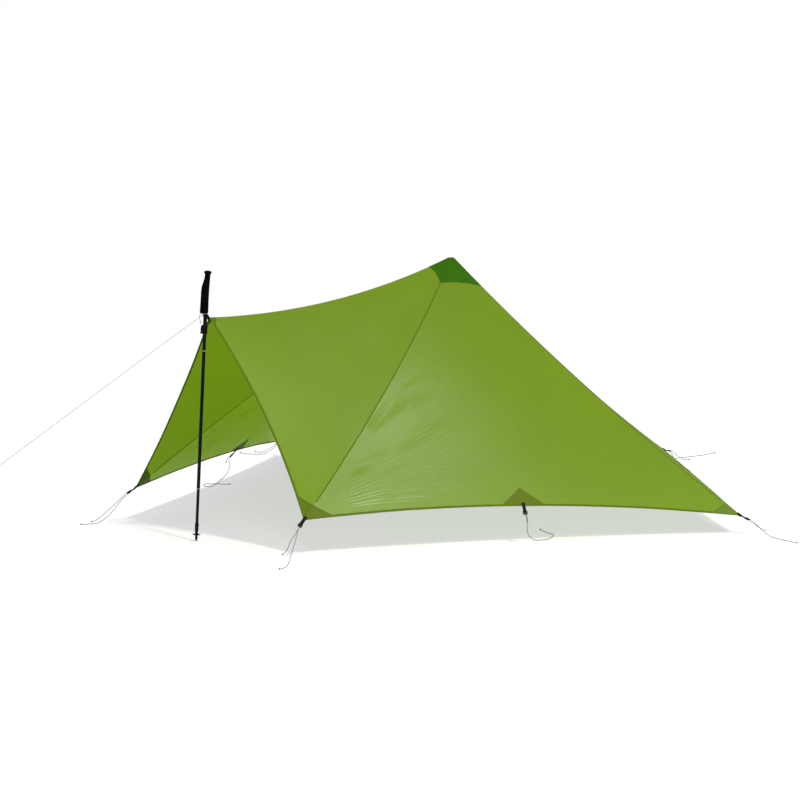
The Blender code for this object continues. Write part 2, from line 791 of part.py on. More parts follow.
def solid_turned(outline):
    """A turned outline that starts and ends on the axis, listed from its top down its outer side."""
    return [(0, outline[0][1]), *outline, (0, outline[-1][1])]


def tube_outline(outer, inner, low, high):
    return [(inner, high), (outer, high), (outer, low), (inner, low)]


def baked(piece):
    """The same piece as a mesh of its own, with its modifiers applied and its seams welded."""
    bpy.context.view_layer.update()
    graph = bpy.context.evaluated_depsgraph_get()
    mesh = bpy.data.meshes.new_from_object(piece.evaluated_get(graph))
    made = bmesh.new()
    made.from_mesh(mesh)
    bmesh.ops.remove_doubles(made, verts=made.verts, dist=FIT_GAP / ROUND_SIDES)
    bmesh.ops.recalc_face_normals(made, faces=made.faces)
    made.to_mesh(mesh)
    made.free()
    name, matrix, collection = piece.name, piece.matrix_world.copy(), piece.users_collection[0]
    look = mesh.materials[0] if mesh.materials else None
    bpy.data.objects.remove(piece, do_unlink=True)
    mesh.materials.clear()
    return place(name, mesh, collection=collection, look=look, matrix=matrix)


def combine(piece, other, operation):
    """A Boolean of two pieces, with the second one kept among the cutters."""
    step = piece.modifiers.new(operation.lower(), "BOOLEAN")
    step.operation = operation
    step.solver = "EXACT"
    step.object = other
    return piece


def box_cutter(name, low, high, matrix):
    mesh = bpy.data.meshes.new(name)
    made = bmesh.new()
    bmesh.ops.create_cube(made, size=1)
    center = (Vector(low) + Vector(high)) / 2
    size = Vector(high) - Vector(low)
    shape = Matrix.Translation(center) @ Matrix.Diagonal((*size, 1))
    bmesh.ops.transform(made, verts=made.verts, matrix=shape)
    made.to_mesh(mesh)
    made.free()
    return place(name, mesh, collection=cutters, matrix=matrix)


MIDDLE_RADIUS = UPPER_RADIUS - TUBE_WALL - FIT_GAP
LOWER_RADIUS = MIDDLE_RADIUS - TUBE_WALL - FIT_GAP


def grip_rings(top):
    """Sections of the grip, from its top down, as rings of points."""
    rings = []
    for down_share, depth_share, breadth_share, lean_share in GRIP_SECTION_SHARES:
        height = top - down_share * GRIP_LENGTH
        ring = []
        for k in range(ROUND_SIDES):
            a = 2 * math.pi * k / ROUND_SIDES
            x = math.cos(a) * GRIP_DEPTH * depth_share + GRIP_LEAN * lean_share
            ring.append((x, math.sin(a) * GRIP_BREADTH * breadth_share, height))
        rings.append(ring)
    return rings


def build_grip(prefix, top, frame, look):
    mesh = bpy.data.meshes.new(f"{prefix}_grip")
    made = bmesh.new()
    rings = [[made.verts.new(point) for point in ring] for ring in grip_rings(top)]
    for upper, lower in zip(rings, rings[1:]):
        for k in range(ROUND_SIDES):
            n = (k + 1) % ROUND_SIDES
            made.faces.new((upper[k], lower[k], lower[n], upper[n]))
    made.faces.new(rings[0])
    made.faces.new(list(reversed(rings[-1])))
    bmesh.ops.recalc_face_normals(made, faces=made.faces)
    made.to_mesh(mesh)
    made.free()
    mesh.shade_smooth()
    grip = place(f"{prefix}_grip", mesh, look=look, matrix=frame)
    high = top - GRIP_COVER + FIT_GAP
    bore = [(UPPER_RADIUS + FIT_GAP, high), (UPPER_RADIUS + FIT_GAP, top - 2 * GRIP_LENGTH)]
    cutter = turned(f"{prefix}_grip_bore", solid_turned(bore), matrix=frame, collection=cutters)
    return combine(grip, cutter, "DIFFERENCE")


def clamp_outlines():
    """Side view of the clamp's ears, in the pole's x and z, round the lever's pin."""
    base = UPPER_RADIUS + FIT_GAP + CLAMP_WALL / 2
    round_end = arc((-PIN_STAND, 0), EAR_RADIUS, 90, 270, SMALL_SIDES // 2)
    outline = [*round_end, (-base, -EAR_RADIUS), (-base, EAR_RADIUS)]
    return [outline, circle((-PIN_STAND, 0), PIN_RADIUS + FIT_GAP)]


def ear_matrix(frame, pin_height, offset):
    """Plates in the pole's x and z planes, beside each other along y."""
    flat = axes_matrix((0, offset, pin_height), (1, 0, 0), (0, 0, 1), (0, -1, 0))
    return frame @ flat


def build_clamp(prefix, upper_end, frame, plastic, steel):
    low, high = upper_end - CLAMP_LIP, upper_end - CLAMP_LIP + CLAMP_HEIGHT
    inner = UPPER_RADIUS + FIT_GAP
    ring = turned(f"{prefix}_clamp", tube_outline(inner + CLAMP_WALL, inner, low, high), plastic, frame)
    ring = baked(ring)
    pin_height = low + PIN_RISE
    ear_offset = LEVER_WIDTH / 2 + FIT_GAP + EAR_WALL / 2
    for side in (1, -1):
        ear = plate(
            f"{prefix}_ear_{side}", clamp_outlines(), EAR_WALL,
            matrix=ear_matrix(frame, pin_height, side * ear_offset), collection=cutters,
        )
        combine(ring, baked(ear), "UNION")
    split = box_cutter(
        f"{prefix}_clamp_split",
        (-2 * inner, -CLAMP_SPLIT / 2, low - CLAMP_LIP), (0, CLAMP_SPLIT / 2, high + CLAMP_LIP), frame,
    )
    combine(ring, split, "DIFFERENCE")
    across_matrix = ear_matrix(frame, pin_height, 0)
    half = ear_offset + EAR_WALL / 2 + PIN_HEAD
    pin = turned(f"{prefix}_lever_pin", solid_turned([(PIN_RADIUS, half), (PIN_RADIUS, -half)]), steel,
                 across_matrix @ Matrix.Translation((-PIN_STAND, 0, 0)), SMALL_SIDES)
    return ring, pin, pin_height


def lever_outlines():
    """Side view of the lever from its pin: a round head and an arm that bows away from the pole."""
    steps = 6
    start = math.degrees(math.asin(LEVER_WALL / 2 / LEVER_HEAD))
    head = arc((0, 0), LEVER_HEAD, 90 + start, 450 - start, 2 * SMALL_SIDES)
    outer, inner = [], []
    for k in range(1, steps + 1):
        t = k / steps
        middle = LEVER_WALL * t / 2 - LEVER_BOW * 4 * t * (1 - t)
        half = LEVER_WALL / 2 * (1 - t / 2)
        height = LEVER_LENGTH * t
        outer.append((middle - half, height))
        inner.append((middle + half, height))
    return [head + inner + outer[::-1], circle((0, 0), PIN_RADIUS + FIT_GAP)]


def build_lever(prefix, pin_height, frame, look):
    at_pin = ear_matrix(frame, pin_height, 0) @ Matrix.Translation((-PIN_STAND, 0, 0))
    return plate(f"{prefix}_lever", lever_outlines(), LEVER_WIDTH, look, at_pin)


def lower_tube_top():
    return longest_pole() * MIDDLE_END_SHARE + LOWER_OVERLAP


def build_plug(prefix, frame, look):
    """The plug of the twist lock: it grips the middle tube and turns on the lower tube."""
    base = lower_tube_top() + FIT_GAP
    outer = LOWER_RADIUS
    stud = LOWER_RADIUS - TUBE_WALL - FIT_GAP
    outline = [(outer, base + PLUG_LENGTH), (outer, base), (stud, base), (stud, base - PLUG_STUD)]
    plug = baked(turned(f"{prefix}_lock_plug", solid_turned(outline), look, frame))
    split = box_cutter(
        f"{prefix}_plug_split", (-2 * outer, -PLUG_SPLIT / 2, base + PLUG_SPLIT),
        (2 * outer, PLUG_SPLIT / 2, base + 2 * PLUG_LENGTH), frame,
    )
    return combine(plug, split, "DIFFERENCE")


def tip_radius(height):
    """Outer radius of the tip at a height between its point and its sleeve."""
    knee_height, knee = TIP_LENGTH * TIP_OUTLINE_SHARES[-1][0], TIP_RADIUS * TIP_OUTLINE_SHARES[-1][1]
    share = (height - TIP_POINT) / (knee_height - TIP_POINT)
    return TIP_END_RADIUS + (knee - TIP_END_RADIUS) * share


def build_tip(prefix, frame, look):
    outline = [(TIP_RADIUS * wide, TIP_LENGTH * high) for high, wide in TIP_OUTLINE_SHARES]
    bore = LOWER_RADIUS + FIT_GAP
    floor = TIP_LENGTH - TIP_SLEEVE - FIT_GAP
    outline = [(0, floor), (bore, floor), (bore, TIP_LENGTH), *outline]
    outline += [(TIP_END_RADIUS, TIP_POINT), (POINT_RADIUS, TIP_POINT), (POINT_RADIUS, 0), (0, 0)]
    return turned(f"{prefix}_tip", outline, look, frame)


def build_basket(prefix, frame, look):
    """A round basket on a short hub that fits the taper of the tip."""
    fit = lambda height: tip_radius(height) + FIT_GAP
    holes = []
    ring = (BASKET_RADIUS + tip_radius(BASKET_HEIGHT) + BASKET_HUB_WALL) / 2
    for k in range(BASKET_HOLES):
        a = 2 * math.pi * k / BASKET_HOLES
        holes.append(circle((ring * math.cos(a), ring * math.sin(a)), BASKET_HOLE, 8))
    bore = fit(BASKET_HEIGHT + BASKET_WALL)
    middle = frame @ Matrix.Translation((0, 0, BASKET_HEIGHT + BASKET_WALL / 2))
    rim = circle((0, 0), BASKET_RADIUS, ROUND_SIDES)
    eye = circle((0, 0), bore + BASKET_HUB_WALL / 2, ROUND_SIDES)
    disc = baked(plate(f"{prefix}_basket", [rim, eye, *holes], BASKET_WALL, look, middle))
    high = BASKET_HEIGHT + BASKET_HUB
    outline = [(fit(high), high), (fit(high) + BASKET_HUB_WALL, high)]
    outline += [(bore + BASKET_HUB_WALL, BASKET_HEIGHT), (fit(BASKET_HEIGHT), BASKET_HEIGHT)]
    hub = baked(turned(f"{prefix}_basket_hub", outline, matrix=frame, collection=cutters))
    return combine(disc, hub, "UNION")


def build_pole(prefix, length, frame, looks):
    """One pole set to this length, its tip at the frame's origin and its lever towards -x."""
    longest = longest_pole()
    drop = (longest - length) / 2
    upper_end = length - GRIP_COVER - UPPER_TUBE_LENGTH
    middle_ends = (MIDDLE_END_SHARE * longest - drop, upper_end + MIDDLE_OVERLAP + drop)
    build_grip(prefix, length, frame, looks["foam"])
    tube = tube_outline(UPPER_RADIUS, UPPER_RADIUS - TUBE_WALL, upper_end, length - GRIP_COVER)
    turned(f"{prefix}_upper_tube", tube, looks["aluminium"], frame)
    _, _, pin_height = build_clamp(prefix, upper_end, frame, looks["plastic"], looks["steel"])
    build_lever(prefix, pin_height, frame, looks["plastic"])
    tube = tube_outline(MIDDLE_RADIUS, MIDDLE_RADIUS - TUBE_WALL, *middle_ends)
    turned(f"{prefix}_middle_tube", tube, looks["aluminium"], frame)
    build_plug(prefix, frame, looks["plastic"])
    ends = (TIP_LENGTH - TIP_SLEEVE, lower_tube_top())
    tube = tube_outline(LOWER_RADIUS, LOWER_RADIUS - TUBE_WALL, *ends)
    turned(f"{prefix}_lower_tube", tube, looks["aluminium"], frame)
    build_tip(prefix, frame, looks["plastic"])
    build_basket(prefix, frame, looks["plastic"])


def front_pole_length():
    return DOOR_HEIGHT + POLE_ABOVE_DOOR


def longest_pole():
    """The poles are a pair: each is as long as this, less what is slid into its two joints."""
    return max(front_pole_length(), centre_pole_length())


def front_pole_frame():
    """The front pole leans back to the door, its lowest edge on the ground."""
    lean = math.radians(POLE_LEAN_DEG)
    foot = -DOOR_REACH - DOOR_POLE_SPACE - DOOR_HEIGHT * math.tan(lean)
    lift = POINT_RADIUS * math.sin(lean)
    return Matrix.Translation((foot, 0, lift)) @ Matrix.Rotation(lean, 4, "Y")


def centre_pole_length():
    """The centre pole is set so that the shoulder of its grip just meets the cap."""
    return PEAK_HEIGHT - TIP_DROP - PEAK_CLEARANCE


def centre_pole_frame():
    """The grip's top leans off the shaft, so the pole leans back to bring it under the peak."""
    lean = -math.asin(GRIP_LEAN * GRIP_SECTION_SHARES[0][3] / centre_pole_length())
    return Matrix.Rotation(lean, 4, "Y")


def pole_loop_height():
    """Height of the middle of the door's webbing, which runs level from the patch to the pole."""
    return DOOR_HEIGHT + 2 * PATCH_LIFT + FIT_GAP + LOOP_WIDTH / 2


def on_front_pole(height):
    """The point of the front pole's axis at a height over the ground."""
    frame = front_pole_frame()
    axis = frame.to_3x3() @ UP
    return frame.translation + axis * ((height - frame.translation.z) / axis.z)


def loop_radius():
    return UPPER_RADIUS + 3 * FIT_GAP


def build_pole_loop(look):
    """The webbing that goes round the front pole below its grip and runs back onto the door patch."""
    inner = loop_radius()
    outer = inner + WEBBING_WALL
    half = WEBBING_WALL
    tail = DOOR_POLE_SPACE + DOOR_PATCH_SEAM_REACH / 2
    meet = math.degrees(math.asin(half / outer))
    outline = arc((0, 0), outer, meet, 360 - meet, 2 * SMALL_SIDES) + [(tail, -half), (tail, half)]
    frame = Matrix.Translation(on_front_pole(pole_loop_height()))
    outlines = [outline, circle((0, 0), inner, 2 * SMALL_SIDES)]
    return plate("pole_loop", outlines, LOOP_WIDTH, look, frame)


def hitch_points():
    """The guyline's hitch: it goes round the front pole between the webbing and the grip."""
    center = on_front_pole(pole_loop_height() + LOOP_WIDTH / 2 + 2.7 * GUYLINE_RADIUS)
    radius = UPPER_RADIUS + GUYLINE_RADIUS + 2 * FIT_GAP
    start_deg, end_deg = 120, -140
    return [center + Vector((x, y, 0)) for x, y in arc((0, 0), radius, start_deg, end_deg, SMALL_SIDES)]


def build_all():
    clear_scene()
    green = material("green_cloth", (0.16, 0.29, 0.03), 0.45)
    dark_green = material("dark_green_cloth", (0.05, 0.16, 0.01), 0.5)
    webbing = material("black_webbing", (0.02, 0.02, 0.02), 0.8)
    looks = {
        "foam": material("black_foam", (0.015, 0.015, 0.015), 0.85),
        "aluminium": material("black_aluminium", (0.02, 0.02, 0.022), 0.35, 0.6),
        "plastic": material("black_plastic", (0.02, 0.02, 0.02), 0.5),
        "steel": material("bright_steel", (0.6, 0.6, 0.62), 0.25, 1.0),
    }
    cord_look = material("pale_green_cord", (0.42, 0.43, 0.30), 0.7)
    guy_look = material("pale_guyline", (0.75, 0.75, 0.72), 0.7)
    build_panels(green)
    build_cap(dark_green)
    build_patches(dark_green)
    build_tie_outs(webbing, looks["plastic"])
    build_pole_loop(webbing)
    build_cords(cord_look, guy_look)
    build_pole("front_pole", front_pole_length(), front_pole_frame(), looks)
    build_pole("centre_pole", centre_pole_length(), centre_pole_frame(), looks)


build_all()
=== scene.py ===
"""Look of the five-sided trekking pole shelter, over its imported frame. Metres, +Z up, door to -X."""

import math

import bmesh
import bpy
import numpy as np
from mathutils import Matrix, Vector


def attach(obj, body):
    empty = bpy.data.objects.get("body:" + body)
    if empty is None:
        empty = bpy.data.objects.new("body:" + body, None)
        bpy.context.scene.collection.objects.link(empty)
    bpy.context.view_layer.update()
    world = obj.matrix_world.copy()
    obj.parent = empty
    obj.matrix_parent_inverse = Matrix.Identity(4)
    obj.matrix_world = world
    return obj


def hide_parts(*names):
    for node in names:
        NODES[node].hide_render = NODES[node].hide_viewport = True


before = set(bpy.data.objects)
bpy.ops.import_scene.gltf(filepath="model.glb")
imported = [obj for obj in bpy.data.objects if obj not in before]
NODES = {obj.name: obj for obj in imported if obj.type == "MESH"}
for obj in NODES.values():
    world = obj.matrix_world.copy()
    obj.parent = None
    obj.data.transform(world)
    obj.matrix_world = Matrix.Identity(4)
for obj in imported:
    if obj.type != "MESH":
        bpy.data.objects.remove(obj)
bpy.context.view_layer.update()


# ---- camera

CAMERA_PLACE = (-9.819, -9.801, 2.395)
CAMERA_AIM = (0.6881, 0.7129, -0.1354)
SENSOR_WIDTH = 36
FOCAL_LENGTH = 126
FAR_CLIP = 200


def linked(name, data):
    made = bpy.data.objects.new(name, data)
    bpy.context.scene.collection.objects.link(made)
    return made


def face_along(made, direction, axis):
    """Turns an object so that its axis, Z or -Z, points in a direction."""
    made.rotation_mode = "QUATERNION"
    made.rotation_quaternion = Vector(direction).to_track_quat(axis, "Y")


def make_camera():
    data = bpy.data.cameras.new("camera")
    data.sensor_width = SENSOR_WIDTH
    data.lens = FOCAL_LENGTH
    data.clip_end = FAR_CLIP
    camera = linked("camera", data)
    camera.location = CAMERA_PLACE
    face_along(camera, CAMERA_AIM, "-Z")
    bpy.context.scene.camera = camera


# ---- materials

def shader_tree(name):
    made = bpy.data.materials.new(name)
    made.use_nodes = True
    tree = made.node_tree
    return made, tree, tree.nodes["Principled BSDF"], tree.nodes["Material Output"]


def feed(tree, node, inputs):
    """Sets a node's inputs, each to a value or from another node."""
    for key, value in inputs.items():
        if isinstance(value, bpy.types.NodeSocket):
            tree.links.new(value, node.inputs[key])
        else:
            node.inputs[key].default_value = value
    return node


def add(tree, kind, inputs={}, **settings):
    node = tree.nodes.new(kind)
    for key, value in settings.items():
        setattr(node, key, value)
    return feed(tree, node, inputs)


def ramp(tree, value, low, high, at):
    node = add(tree, "ShaderNodeValToRGB", {0: value})
    node.color_ramp.elements[0].position, node.color_ramp.elements[1].position = at
    node.color_ramp.elements[0].color = (*low, 1)
    node.color_ramp.elements[1].color = (*high, 1)
    return node.outputs[0]


def noise(tree, vector, scale, detail=3.0):
    inputs = {"Vector": vector, "Scale": scale, "Detail": detail}
    return add(tree, "ShaderNodeTexNoise", inputs).outputs[0]


def wave_of(tree, value, pitch):
    """A sine of a coordinate in metres, from -1 to 1."""
    turned = math_node(tree, "MULTIPLY", value, 2 * math.pi / pitch)
    return add(tree, "ShaderNodeMath", {0: turned}, operation="SINE").outputs[0]


def math_node(tree, operation, a, b):
    return add(tree, "ShaderNodeMath", {0: a, 1: b}, operation=operation).outputs[0]


def bump(tree, height, distance, strength):
    inputs = {"Height": height, "Distance": distance, "Strength": strength}
    return add(tree, "ShaderNodeBump", inputs).outputs[0]


def blend(tree, share, low, high):
    return add(tree, "ShaderNodeMix", {0: share, 6: low, 7: high}, data_type="RGBA").outputs[2]


RIPSTOP_PITCH = 0.0052
THREAD_CUT = 0.93
THREAD_TONE, THREAD_SHARE, THREAD_RISE = 0.72, 0.16, 0.25
MOTTLE_SCALE, MOTTLE_TONE, MOTTLE_SPAN = 3.2, 0.92, (0.25, 0.6)
CRINKLE_SCALE, CRINKLE_DETAIL = 160, 2.0
CRINKLE_DEPTH, CRINKLE_STRENGTH = 0.0004, 0.3
WEAVE_SPAN, WEAVE_STRENGTH = (0.1, 0.9), 0.8
WEAR_SCALE, WEAR_SPAN = 35, (0.35, 0.85)
WEAR_TONE, WEAR_LIFT = 1.6, 0.002
WEAR_ROUGHNESS_SHARES = (0.8, 1.25)
GRAIN_STRENGTH = 0.6


def cloth_look(name, color, behind, share, roughness, gloss):
    """Thin ripstop cloth: a satin face, threads in a square grid, and light that comes through."""
    made, tree, face, output = shader_tree(name)
    flat = add(tree, "ShaderNodeUVMap", uv_map="cloth").outputs[0]
    split = add(tree, "ShaderNodeSeparateXYZ", {0: flat})
    waves = [wave_of(tree, split.outputs[k], RIPSTOP_PITCH) for k in (0, 1)]
    thread = math_node(tree, "MAXIMUM", *(math_node(tree, "GREATER_THAN", w, THREAD_CUT) for w in waves))
    mottle = noise(tree, flat, MOTTLE_SCALE)
    tone = ramp(tree, mottle, tuple(c * MOTTLE_TONE for c in color), color, MOTTLE_SPAN)
    thread_tone = (*(c * THREAD_TONE for c in color), 1)
    shade = blend(tree, math_node(tree, "MULTIPLY", thread, THREAD_SHARE), tone, thread_tone)
    ridges = math_node(tree, "MULTIPLY", thread, THREAD_RISE)
    crinkle = math_node(tree, "ADD", ridges, noise(tree, flat, CRINKLE_SCALE, CRINKLE_DETAIL))
    skin = bump(tree, crinkle, CRINKLE_DEPTH, CRINKLE_STRENGTH)
    feed(tree, face, {"Base Color": shade, "Normal": skin, "Roughness": roughness,
                      "Specular IOR Level": gloss})
    through = add(tree, "ShaderNodeBsdfTranslucent", {"Color": (*behind, 1), "Normal": skin})
    both = add(tree, "ShaderNodeMixShader", {0: share, 1: face.outputs[0], 2: through.outputs[0]})
    feed(tree, output, {"Surface": both.outputs[0]})
    return made


def woven_look(name, color, pale, pitch, roughness, depth, gloss):
    """Webbing or braid: a twill of threads over the piece's own metres."""
    made, tree, face, _ = shader_tree(name)
    flat = add(tree, "ShaderNodeUVMap", uv_map="cloth").outputs[0]
    split = add(tree, "ShaderNodeSeparateXYZ", {0: flat})
    aside, along = split.outputs[0], split.outputs[1]
    one = wave_of(tree, math_node(tree, "ADD", aside, along), pitch)
    two = wave_of(tree, math_node(tree, "SUBTRACT", aside, along), pitch)
    weave = math_node(tree, "MULTIPLY", one, two)
    share = math_node(tree, "MULTIPLY_ADD", weave, 0.5)
    share.node.inputs[2].default_value = 0.5
    feed(tree, face, {"Base Color": ramp(tree, share, color, pale, WEAVE_SPAN), "Roughness": roughness,
                      "Specular IOR Level": gloss, "Normal": bump(tree, share, depth, WEAVE_STRENGTH)})
    return made


def moulded_look(name, color, roughness, scale, depth, metallic, gloss, stretch=(1, 1, 1)):
    """Moulded plastic, foam or anodised tube: a fine grain, with wear in its gloss."""
    made, tree, face, _ = shader_tree(name)
    place = add(tree, "ShaderNodeTexCoord").outputs["Object"]
    stretched = add(tree, "ShaderNodeVectorMath", {0: place, 1: stretch}, operation="MULTIPLY")
    grain = noise(tree, stretched.outputs[0], scale)
    wear = noise(tree, place, WEAR_SCALE)
    light = tuple(c * WEAR_TONE + WEAR_LIFT for c in color)
    low, high = (min(1, roughness * share) for share in WEAR_ROUGHNESS_SHARES)
    spread = add(tree, "ShaderNodeMapRange", {0: wear, 3: low, 4: high})
    feed(tree, face, {"Base Color": ramp(tree, wear, color, light, WEAR_SPAN),
                      "Normal": bump(tree, grain, depth, GRAIN_STRENGTH), "Roughness": spread.outputs[0],
                      "Metallic": metallic, "Specular IOR Level": gloss})
    return made


GREEN, GREEN_BEHIND = (0.128, 0.204, 0.002), (0.345, 0.60, 0.020)
# Face colour, colour and share of the light that comes through, roughness, gloss
CLOTH_LOOKS = {
    "green_cloth": (GREEN, GREEN_BEHIND, 0.30, 0.28, 0.31),
    "hem_cloth": ((0.118, 0.196, 0.001), (0.18, 0.33, 0.003), 0.26, 0.55, 0.1),
    "patch_cloth": ((0.120, 0.178, 0.001), (0.18, 0.30, 0.004), 0.22, 0.5, 0.12),
    "rear_cloth": (GREEN, GREEN_BEHIND, 0.30, 0.55, 0.12),
    "corner_cloth": ((0.145, 0.226, 0.002), (0.20, 0.37, 0.005), 0.26, 0.38, 0.31),
    "dark_green_cloth": ((0.034, 0.132, 0.001), (0.05, 0.20, 0.002), 0.22, 0.40, 0.05),
}
# Dark and pale colour, pitch of the threads, roughness, depth, gloss
WOVEN_LOOKS = {
    "thread": ((0.08, 0.14, 0.008), (0.11, 0.18, 0.012), 0.0005, 0.6, 0.0001, 0.25),
    "thread_black": ((0.015, 0.015, 0.015), (0.04, 0.04, 0.038), 0.0006, 0.6, 0.0001, 0.25),
    "black_webbing": ((0.003, 0.003, 0.003), (0.012, 0.012, 0.012), 0.0016, 0.75, 0.0003, 0.1),
    "pale_green_cord": ((0.055, 0.060, 0.032), (0.12, 0.13, 0.08), 0.0012, 0.7, 0.0002, 0.25),
    "pale_guyline": ((0.42, 0.42, 0.39), (0.60, 0.60, 0.57), 0.0014, 0.7, 0.0002, 0.25),
}
# Colour, roughness, scale and depth of the grain, metal, gloss, and how the grain is drawn out
MOULDED_LOOKS = {
    "black_plastic": ((0.002, 0.002, 0.003), 0.42, 900, 0.0001, 0.0, 0.12),
    "black_foam": ((0.001, 0.001, 0.0015), 0.85, 420, 0.0005, 0.0, 0.03),
    "black_aluminium": ((0.003, 0.003, 0.004), 0.34, 300, 0.00004, 0.1, 0.15, (6, 6, 0.3)),
    "bright_steel": ((0.56, 0.56, 0.57), 0.28, 500, 0.00003, 1.0, 0.5),
    "band": ((0.42, 0.34, 0.20), 0.5, 900, 0.0001, 0.0, 0.2),
}
LOOKS = {}
for look, table in ((cloth_look, CLOTH_LOOKS), (woven_look, WOVEN_LOOKS), (moulded_look, MOULDED_LOOKS)):
    LOOKS.update({name: look(name, *row) for name, row in table.items()})


# ---- pieces

def piece(name, points, faces, look, uvs, nodes=(), body="shelter"):
    """A mesh piece that rides on a body, has its material slot and stands for CAD nodes."""
    mesh = bpy.data.meshes.new(name)
    mesh.from_pydata([tuple(p) for p in points], [], faces)
    mesh.validate()
    layer = mesh.uv_layers.new(name="cloth")
    loops = np.zeros(len(mesh.loops), dtype=np.int32)
    mesh.loops.foreach_get("vertex_index", loops)
    layer.data.foreach_set("uv", np.asarray(uvs, dtype=np.float32)[loops].ravel())
    mesh.materials.append(LOOKS[look])
    mesh.shade_smooth()
    made = linked(name, mesh)
    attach(made, body)
    if nodes:
        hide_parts(*nodes)
    return made


def grid_faces(rows, columns, wrap=False, close=False):
    """Quads of a grid; wrap joins each row's ends, and close fills the first and last rows."""
    faces = []
    for i in range(rows - 1):
        a, b = i * columns, (i + 1) * columns
        for k in range(columns if wrap else columns - 1):
            n = (k + 1) % columns
            faces.append((a + k, b + k, b + n, a + n))
    if close:
        faces.append(tuple(range(columns)))
        faces.append(tuple((rows - 1) * columns + k for k in reversed(range(columns))))
    return faces


def unit(v):
    v = np.asarray(v, float)
    return v / np.linalg.norm(v, axis=-1, keepdims=True)


def run_lengths(points):
    steps = np.linalg.norm(np.diff(points, axis=0), axis=1)
    return np.concatenate(([0], np.cumsum(steps)))


def swept(name, sections, look, **options):
    """A closed solid through rings of points, with its metres round and along as its own map."""
    sections = np.asarray(sections, float)
    rows, columns = sections.shape[:2]
    around = run_lengths(np.vstack([sections[rows // 2], sections[rows // 2][:1]]))[:-1]
    along = run_lengths(sections.mean(axis=1))
    uvs = np.stack(np.broadcast_arrays(around[None, :], along[:, None]), axis=-1).reshape(-1, 2)
    faces = grid_faces(rows, columns, wrap=True, close=True)
    return piece(name, sections.reshape(-1, 3), faces, look, uvs, **options)


def ribbon_sections(points, sides, normals, width, wall):
    """Rounded flat sections round a line, each with its own direction across and out of its face."""
    shape = [(-0.5, -0.25), (-0.46, -0.5), (0.46, -0.5), (0.5, -0.25)]
    shape += [(-a, -b) for a, b in shape]
    return [[p + a * width * side + b * wall * up for a, b in shape]
            for p, side, up in zip(points, sides, normals)]


def tangents(points):
    points = np.asarray(points, float)
    return unit(np.gradient(points, axis=0))


def steady_frames(points, first):
    """Directions across a line that turn with it as little as they can."""
    along = tangents(points)
    side = unit(first - along[0] * (first @ along[0]))
    sides = []
    for t in along:
        side = unit(side - t * (side @ t))
        sides.append(side)
    return along, np.array(sides)


def tube_sections(points, radius, sides=10):
    """Round sections along a line."""
    points = np.asarray(points, float)
    along, one = steady_frames(points, np.array((0.3, 0.2, 0.93)))
    two = np.cross(along, one)
    radii = np.broadcast_to(radius, len(points))
    angles = np.linspace(0, 2 * math.pi, sides, endpoint=False)
    return [[p + r * (math.cos(a) * s + math.sin(a) * t) for a in angles]
            for p, s, t, r in zip(points, one, two, radii)]


def smooth_route(points, count):
    """Evenly spaced points on a smooth curve through the route's own points."""
    route = [Vector(point) for point in points]
    route = [route[0] * 2 - route[1], *route, route[-1] * 2 - route[-2]]
    fine = []
    steps = 16
    for before, start, end, after in zip(route, route[1:], route[2:], route[3:]):
        for k in range(steps):
            t = k / steps
            square = before * 2 - start * 5 + end * 4 - after
            cube = start * 3 - before - end * 3 + after
            fine.append(start + ((end - before) * t + square * t**2 + cube * t**3) / 2)
    fine.append(route[-2])
    fine = np.array([tuple(p) for p in fine])
    lengths = run_lengths(fine)
    targets = np.linspace(0, lengths[-1], count)
    return np.stack([np.interp(targets, lengths, fine[:, k]) for k in range(3)], axis=1)


# ---- corners and tie-outs

def mirrored(*places):
    """The same places or directions on the other side of the ridge."""
    return [np.array(place) * (1, -1, 1) for place in places]


CORNERS = {
    "peak": (0.0, 0.0, 1.222),
    "rear": (1.6349, 0.0, 0.07),
    "side_right": (0.29606, -1.61781, 0.084),
    "door": (-1.577, 0.0, 1.031),
    "front_right": (-1.54041, -0.6022, 0.161),
}
CORNERS = {name: np.array(place) for name, place in CORNERS.items()}
PEAK = CORNERS["peak"]
CORNERS["side_left"], CORNERS["front_left"] = mirrored(CORNERS["side_right"], CORNERS["front_right"])

# Fold point, directions out and up, how far the line-lock tips in degrees, and the gaps that the
# webbing keeps over and under the cloth
FRONT = (CORNERS["front_right"], (-0.80277, -0.20424, -0.56022), (-0.24573, -0.7427, 0.6229),
         -6.07, 0.00110, 0)
SIDE = (CORNERS["side_right"], (0.15477, -0.84575, -0.51063), (0.117, -0.49753, 0.85952),
        -12.71, 0, 0.00315)
REAR_EDGE = ((0.92521, -0.77516, 0.12476), (0.59636, -0.49953, -0.62835), (0.48743, -0.39659, 0.7779),
             6.07, 0, 0)
TIE_OUTS = {
    "front_right": FRONT,
    "side_right": SIDE,
    "rear": (CORNERS["rear"], (0.85541, 0.0, -0.51795), (0.51795, 0.0, 0.85541), -19.2, 0, 0.00326),
    "side_left": (*mirrored(*SIDE[:3]), *SIDE[3:]),
    "front_left": (*mirrored(*FRONT[:3]), *FRONT[3:]),
    "right_edge": ((-0.59468, -1.06381, 0.16888), (-0.38575, -0.63084, -0.67323),
                   (-0.28871, -0.61052, 0.7375), 2.68, 0, 0),
    "rear_right_edge": REAR_EDGE,
    "rear_left_edge": (*mirrored(*REAR_EDGE[:3]), *REAR_EDGE[3:]),
    "left_edge": ((-0.43064, 1.15729, 0.15986), (-0.22365, 0.72468, -0.65178),
                  (-0.29343, 0.58764, 0.75405), 4.32, 0, 0),
}


